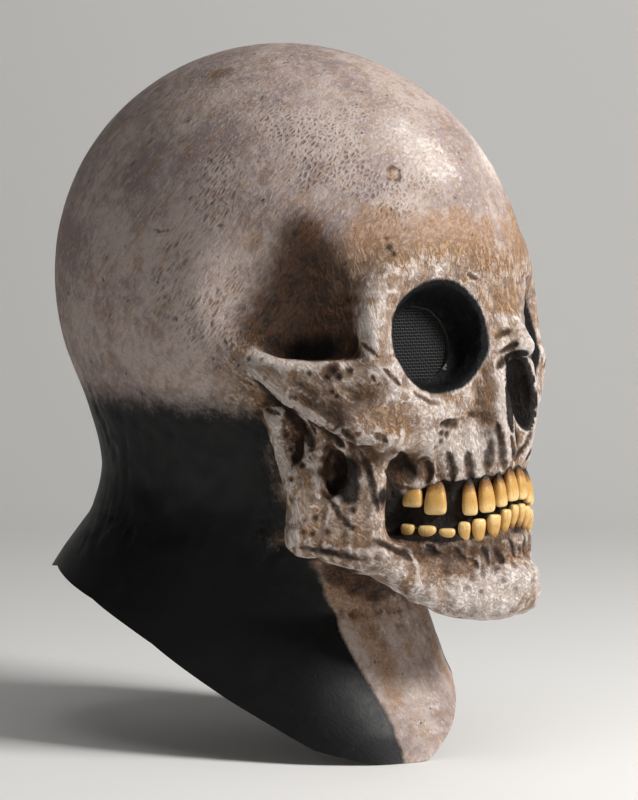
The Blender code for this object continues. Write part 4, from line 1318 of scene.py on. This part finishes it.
# %% Weave the two screens
def weave_screen(name, sign, tree, material):
    """The screen of one side; a modifier's inputs are keyed by the socket's identifier."""
    piece = loose_object(name, bpy.data.meshes.new(name))
    weave = piece.modifiers.new("weave", "NODES")
    weave.node_group = tree
    values = {size: value * MM for size, value in WEAVE_SIZES.items()}
    values["Finish"] = material
    for item in tree.interface.items_tree:
        if item.in_out == "INPUT" and item.name in values:
            weave[item.identifier] = values[item.name]
    mesh = plain_mesh(piece, name)
    middle, axis, turn = socket_frame(sign)
    turn = turn.to_4x4()
    depth = SCREEN_SEAT_DEPTH + SCREEN_CLEARANCE + 0.5 * SCREEN_THICKNESS
    turn.translation = (middle - axis * depth) * MM
    mesh.transform(turn)
    return loose_object(name, mesh)

# %% [markdown]
# ## Painted latex
# Bone colour is built up as on the real mask: a warm pale base with mauve-grey clouds, short scratchy
# dashes, brown stains, dark wash run into the hollows and wiped off the ridges, and a last dry brush of
# near white. Painted shade darkens the cheek hollows, the jaw under the teeth and the temples, painted deep
# shadow fills holes and the mouth corners, and painted highlights lighten the chin, brow and upper jaw.
# The eye sockets and the gums are black, and so is the neck below its painted edge.

# %% The outside
def painted_bone():
    paint = Paint("painted latex bone")
    step, layer, coat, noise, number = paint.step, paint.layer, paint.coat, paint.noise, paint.number
    face, jaw, cheek = (number(name) for name in ("face", "along_jaw", "round_cheek"))
    net, recess, hollow = (number(name) for name in ("net", "recess", "hollow"))

    # the run of the strokes: forward on the crown, upright on the face, along the jaw, round the cheek
    lean = paint.stretched((1.0, 1.0, 3.0), (0.62, 0.2, 0.0))
    upright = paint.stretched((1.0, 1.0, 2.8), (-0.35, 0.0, 0.0))
    along = paint.stretched((1.0, 1.0, 3.4), (1.95, 0.0, 0.0))
    bent = paint.stretched((1.0, 1.0, 3.0), (2.25, 0.0, 0.0))
    fibre = noise(1.6, 3.0, 0.62, lean, 0.5)
    for place, share in ((upright, face), (along, jaw), (bent, cheek)):
        fibre = fibre + (noise(2.1, 4.0, 0.62, place, 1.3) - fibre) * share
    fine = noise(1.5, 3.0, 0.65, distortion=0.4)
    middle = noise(6.5, 4.0, 0.62, distortion=0.6)
    broad = noise(38.0, 2.0, 0.5)
    speck, blotch = fine - 0.5, middle - 0.5
    streaks = noise(5.5, 3.0, 0.65, lean, 0.4)
    clay = fibre * 0.5 + fine * 0.25 + middle * 0.25
    crease = step(abs(fibre - 0.47), 0.05, 0.0)
    rise = number("rise_fine") * 2.4 + number("rise_broad") * face * 0.45 + (clay - 0.5) * 1.6

    # base: mauve-grey on the crown with yellow-brown streaks, warmer on the face
    clouds = step(broad * 0.5 + middle * 0.5, 0.40, 0.60)
    paint.colour = layer((190, 173, 165), (137, 120, 117), clouds * 0.85)
    coat(layer((196, 170, 144), (146, 116, 92), step(middle, 0.40, 0.60)), face * 0.55)
    coat((152, 117, 82), step(streaks + speck * 0.35 + face * 0.03, 0.50, 0.64) * (0.42 + face * 0.38))
    coat((88, 70, 63), step(clay, 0.47, 0.34) * (0.50 + face * 0.2))
    coat((216, 203, 195), step(clay, 0.52, 0.64) * 0.50)

    # crowded dents with a pale raised net between them
    patch = step(net + blotch * 0.9, 0.22, 0.60)
    cell = paint.cells(2.0, lean, "DISTANCE_TO_EDGE") + speck * 0.36
    coat((96, 80, 74), step(cell, 0.14, 0.40) * patch * 0.50)
    coat((220, 208, 201), step(cell, 0.10, -0.04) * patch * 0.38)

    # ochre stains
    tan = step(number("tan") + blotch * 0.7 + speck * 0.6, 0.22, 0.66)
    coat(layer((122, 88, 58), (176, 139, 103), step(clay, 0.40, 0.60)), tan * 0.68)

    # wash in the hollows, dry brush on the ridges, then painted shade and painted deep shadow
    low = recess * 0.55 + hollow * 0.5 - rise * 0.55
    coat((104, 74, 53), step(low, 0.10, 0.70) * 0.85)
    coat((38, 28, 24), step(low + recess * 0.25, 0.45, 1.10))
    lit = step(rise + number("ridge") * face * 0.4, 0.25, 0.90)
    coat((230, 217, 209), lit * (0.35 + face * 0.45))
    # painted shade with brown wash: the "dark" patches under the cheek, along the jaw and in the temples
    dark = step(number("dark") + blotch * 0.5 - rise * 0.16, 0.12, 0.85)
    coat(layer((38, 27, 22), (98, 69, 49), step(clay + middle * 0.3, 0.52, 0.74)), dark * 0.94)
    # painted deep shadow: the "black" patches in holes, crevices and the mouth corners
    painted_deep_shadow = step(number("black") + blotch * 0.35 + speck * 0.2, 0.22, 0.70)
    coat((18, 14, 12), painted_deep_shadow * 0.97)
    coat((58, 43, 35), crease * (0.09 + face * 0.17) * step(middle, 0.36, 0.58))

    # painted highlights on the chin, brow, upper jaw, cheek rim and throat, laid on like a heavy dry brush
    pale = step(number("pale") + blotch * 0.7 + speck * 0.3 - low * 0.25, 0.25, 0.85)
    coat(layer((196, 180, 170), (236, 226, 220), step(clay, 0.40, 0.60)), pale * 0.80)

    # marks: a dark middle that fades into a brown shadow
    mark = number("mark") + speck * 0.8 + blotch * 0.5
    near = number("mark_near")
    line = step(mark, 1.45, 0.35) * near
    coat((78, 57, 44), step(mark, 2.3, 0.9) * near * 0.65)
    coat((24, 18, 15), line * 0.9)

    # single dents: short dark dashes scattered on the crown
    dents = step(paint.cells(4.6, lean) + speck * 0.3, 0.17, 0.06) * step(middle, 0.48, 0.62)
    coat((56, 44, 40), dents * 0.75)

    # black places
    neck = number("neck_edge") / number("neck_soft") + speck * 0.8 + blotch * 0.8
    neck = step(neck, -0.7, 0.7)
    eye = step(number("eye_black") + speck * 0.3, 0.30, 0.62)
    nose = step(number("nose_black") + speck * 0.3, 0.25, 0.7)
    gum = step(number("gum_black") + speck * 0.5, 0.20, 0.60)
    coat((17, 12, 10), nose * 0.96)
    coat((15, 10, 9), gum * 0.97)
    coat(layer((7, 7, 8), (20, 19, 20), step(middle, 0.42, 0.72)), eye)
    coat(layer((9, 9, 10), (22, 21, 22), step(broad, 0.50, 0.75)), neck)

    rough = 0.60 + blotch * 0.25 - neck * 0.12
    relief = clay * (1.0 + face * 1.2) - crease * face * 0.25 - dents * 0.4 - line * 0.5
    relief = (relief - step(cell, 0.1, 0.4) * patch * 0.30) * (1.0 - neck * 0.8)
    return paint.finish(rough, relief, 1.0, 1.0, Specular_IOR_Level=0.25)


# The inside is painted dark grey; this darkness is painted shade, since the inside of the mask looks dark
# through the eye gauze.
def lining_in_painted_shade():
    paint = Paint("lining in painted shade")
    broad, fine = paint.noise(14.0, 3.0), paint.noise(1.6, 2.0)
    paint.colour = paint.layer((27, 25, 24), (50, 46, 43), paint.step(broad, 0.3, 0.7))
    return paint.finish(0.45 + fine * 0.2, fine * 0.3 + broad * 0.5, 0.6, 0.6)


def cut_edge():
    paint = Paint("scissor-cut edge")
    grain = paint.noise(0.8, 2.0)
    paint.colour = paint.layer((52, 47, 45), (96, 88, 84), grain)
    return paint.finish(0.5 + grain * 0.2, grain, 0.7, 0.3)


bone, lining, rim = painted_bone(), lining_in_painted_shade(), cut_edge()
for material in (bone, lining, rim):
    latex_mesh.materials.append(material)
print("nodes in the bone paint:", len(bone.node_tree.nodes))

# %% Give every face its paint
centres = np.array([face.center for face in latex_mesh.polygons])
facing = np.array([face.normal for face in latex_mesh.polygons])
levels = field(centres)
trim = np.array([hem_height(side, -forward) for side, forward, _ in centres])
on_hem = (np.abs(centres[:, 2] - trim - HEM_CUT_LIFT) < 1.2) & (facing[:, 2] < -0.5)
from_axis = socket_places(folded(centres))[1]
cut_wall = (levels < -0.35) & (levels > -WALL) & (np.abs(from_axis - EYE_HOLE_RADIUS) < 1.0)
looks_in = (facing * field_slope(centres)).sum(axis=1) < 0.0
slots = np.where(looks_in & (levels < -0.6), 1, 0)
slots[on_hem | cut_wall] = 2
latex_mesh.polygons.foreach_set("material_index", slots.astype(np.int32))
latex_mesh.transform(Matrix.Scale(MM, 4))
latex_mesh.shade_smooth()
latex_mesh.set_sharp_from_angle(angle=math.radians(50.0))
latex = loose_object("latex_casting", latex_mesh)
print("faces outside, inside and on cut edges:", np.bincount(slots, minlength=3))

# %% [markdown]
# ## Enamel and gauze
# The teeth are yellowed and varnished: an ochre body, a paler bite, brown roots and a clear gloss over it.
# The gauze is dull dark grey thread.

# %% Enamel
def enamel():
    paint = Paint("yellowed enamel")
    step, coat = paint.step, paint.coat
    speck, blotch = paint.noise(0.9, 3.0) - 0.5, paint.noise(3.4, 2.0) - 0.5
    upright = paint.noise(0.7, 1.0, 0.5, paint.stretched((1.0, 1.0, 6.0)))
    bite = paint.number("bite") + blotch * 0.16
    paint.colour = paint.layer((200, 156, 88), (230, 196, 134), step(bite + speck * 0.3, 0.60, 0.95))
    coat((122, 80, 40), step(bite + speck * 0.25, 0.46, 0.22) * 0.9)
    coat((20, 13, 10), step(bite + speck * 0.2, 0.26, 0.08))
    coat((112, 70, 30), step(upright, 0.40, 0.30) * 0.35)
    bare = step(bite, 0.25, 0.5)
    paint.tree.links.new((bare * 0.25).socket, paint.shader.inputs["Coat Weight"])
    return paint.finish(0.62 - bare * 0.30 + blotch * 0.2, (upright - 0.5) * 0.25 + blotch * 0.4, 0.5, 0.4,
                        Coat_Roughness=0.2, Specular_IOR_Level=0.3)


def gauze():
    paint = Paint("eye gauze")
    grain = paint.noise(0.35, 2.0)
    paint.colour = paint.layer((20, 19, 20), (44, 43, 43), paint.step(grain, 0.35, 0.7))
    return paint.finish(0.5 + grain * 0.2, grain, 0.4, 0.1)


yellow, thread = enamel(), gauze()
for piece in teeth.values():
    piece.data.materials.append(yellow)
weave = weave_tree()
screens = {side_name: weave_screen("gauze_" + side_name, sign, weave, thread)
           for side_name, sign in (("left", 1.0), ("right", -1.0))}
for piece in screens.values():
    piece.data.shade_smooth()
    print(piece.name, len(piece.data.polygons), "faces")

# %% [markdown]
# ## Floor and light
# The floor is one pale sheet that curves up into the background, so no horizon cuts behind the mask. The
# light is a large soft box in front and to the right, as in the photograph, where the forehead, the teeth and
# the chin are brightest and the back of the head falls into shade. Two weaker lamps keep the shade readable.

# %% Floor
FLOOR_GAP = 0.3
FLOOR_REACH = 3200.0
SWEEP_START = 900.0
SWEEP_RADIUS = 700.0
SWEEP_STEPS = 24


def floor_mesh(low):
    """A strip that runs away from the camera and then bends upwards."""
    away = -to_camera * np.array((1.0, 1.0, 0.0))
    away /= np.linalg.norm(away)
    across = np.array((-away[1], away[0], 0.0))
    profile = [(-FLOOR_REACH, 0.0), (SWEEP_START, 0.0)]
    for step in range(1, SWEEP_STEPS + 1):
        turn = 0.5 * math.pi * step / SWEEP_STEPS
        profile.append((SWEEP_START + SWEEP_RADIUS * math.sin(turn), SWEEP_RADIUS * (1.0 - math.cos(turn))))
    profile.append((SWEEP_START + SWEEP_RADIUS, FLOOR_REACH))
    corners = [tuple((away * run + across * side + np.array((0.0, 0.0, low + rise))) * MM)
               for side in (-FLOOR_REACH, FLOOR_REACH) for run, rise in profile]
    count = len(profile)
    faces = [(i, i + 1, count + i + 1, count + i) for i in range(count - 1)]
    mesh = bpy.data.meshes.new("floor")
    mesh.from_pydata(corners, [], faces)
    mesh.shade_smooth()
    return mesh


floor = loose_object("floor", floor_mesh(cad_box[0][2] / MM - FLOOR_GAP))
paper = Paint("pale paper")
paper.shader.inputs["Base Color"].default_value = (*srgb(244, 243, 241), 1.0)
paper.shader.inputs["Roughness"].default_value = 0.85
floor.data.materials.append(paper.material)

# %% Light
Lamp = namedtuple("Lamp", "name azimuth elevation distance size power warmth")
LAMPS = [
    Lamp("key", 6, 32, 1500, 480, 27.0, (1.0, 0.985, 0.965)),
    Lamp("fill", -95, 22, 1900, 1400, 1.3, (0.97, 0.985, 1.0)),
    Lamp("top", -60, 78, 1500, 1000, 3.2, (1.0, 1.0, 1.0)),
]
for row in LAMPS:
    turn, rise = math.radians(row.azimuth), math.radians(row.elevation)
    towards = Vector((math.sin(turn) * math.cos(rise), -math.cos(turn) * math.cos(rise), math.sin(rise)))
    bulb = bpy.data.lights.new(row.name, "AREA")
    bulb.shape = "DISK"
    bulb.size = row.size * MM
    bulb.energy = row.power
    bulb.color = row.warmth
    lamp = bpy.data.objects.new(row.name, bulb)
    lamp.location = Vector(CAMERA_TARGET) * MM + towards * row.distance * MM
    lamp.rotation_mode = "QUATERNION"
    lamp.rotation_quaternion = towards.to_track_quat("Z", "Y")
    bpy.context.scene.collection.objects.link(lamp)
room = bpy.data.worlds.new("room")
room.use_nodes = True
background = room.node_tree.nodes["Background"].inputs
background["Color"].default_value = (0.90, 0.91, 0.92, 1.0)
background["Strength"].default_value = 0.07
bpy.context.scene.world = room
bpy.context.scene.view_settings.view_transform = "Standard"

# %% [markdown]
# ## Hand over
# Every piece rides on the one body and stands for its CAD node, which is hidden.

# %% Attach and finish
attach(latex, "root")
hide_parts("latex_shell")
for side_name in ("left", "right"):
    screen = screens[side_name]
    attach(screen, "root")
    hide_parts("eye_screen_" + side_name)
for node, piece in teeth.items():
    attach(piece, "root")
    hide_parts(node)
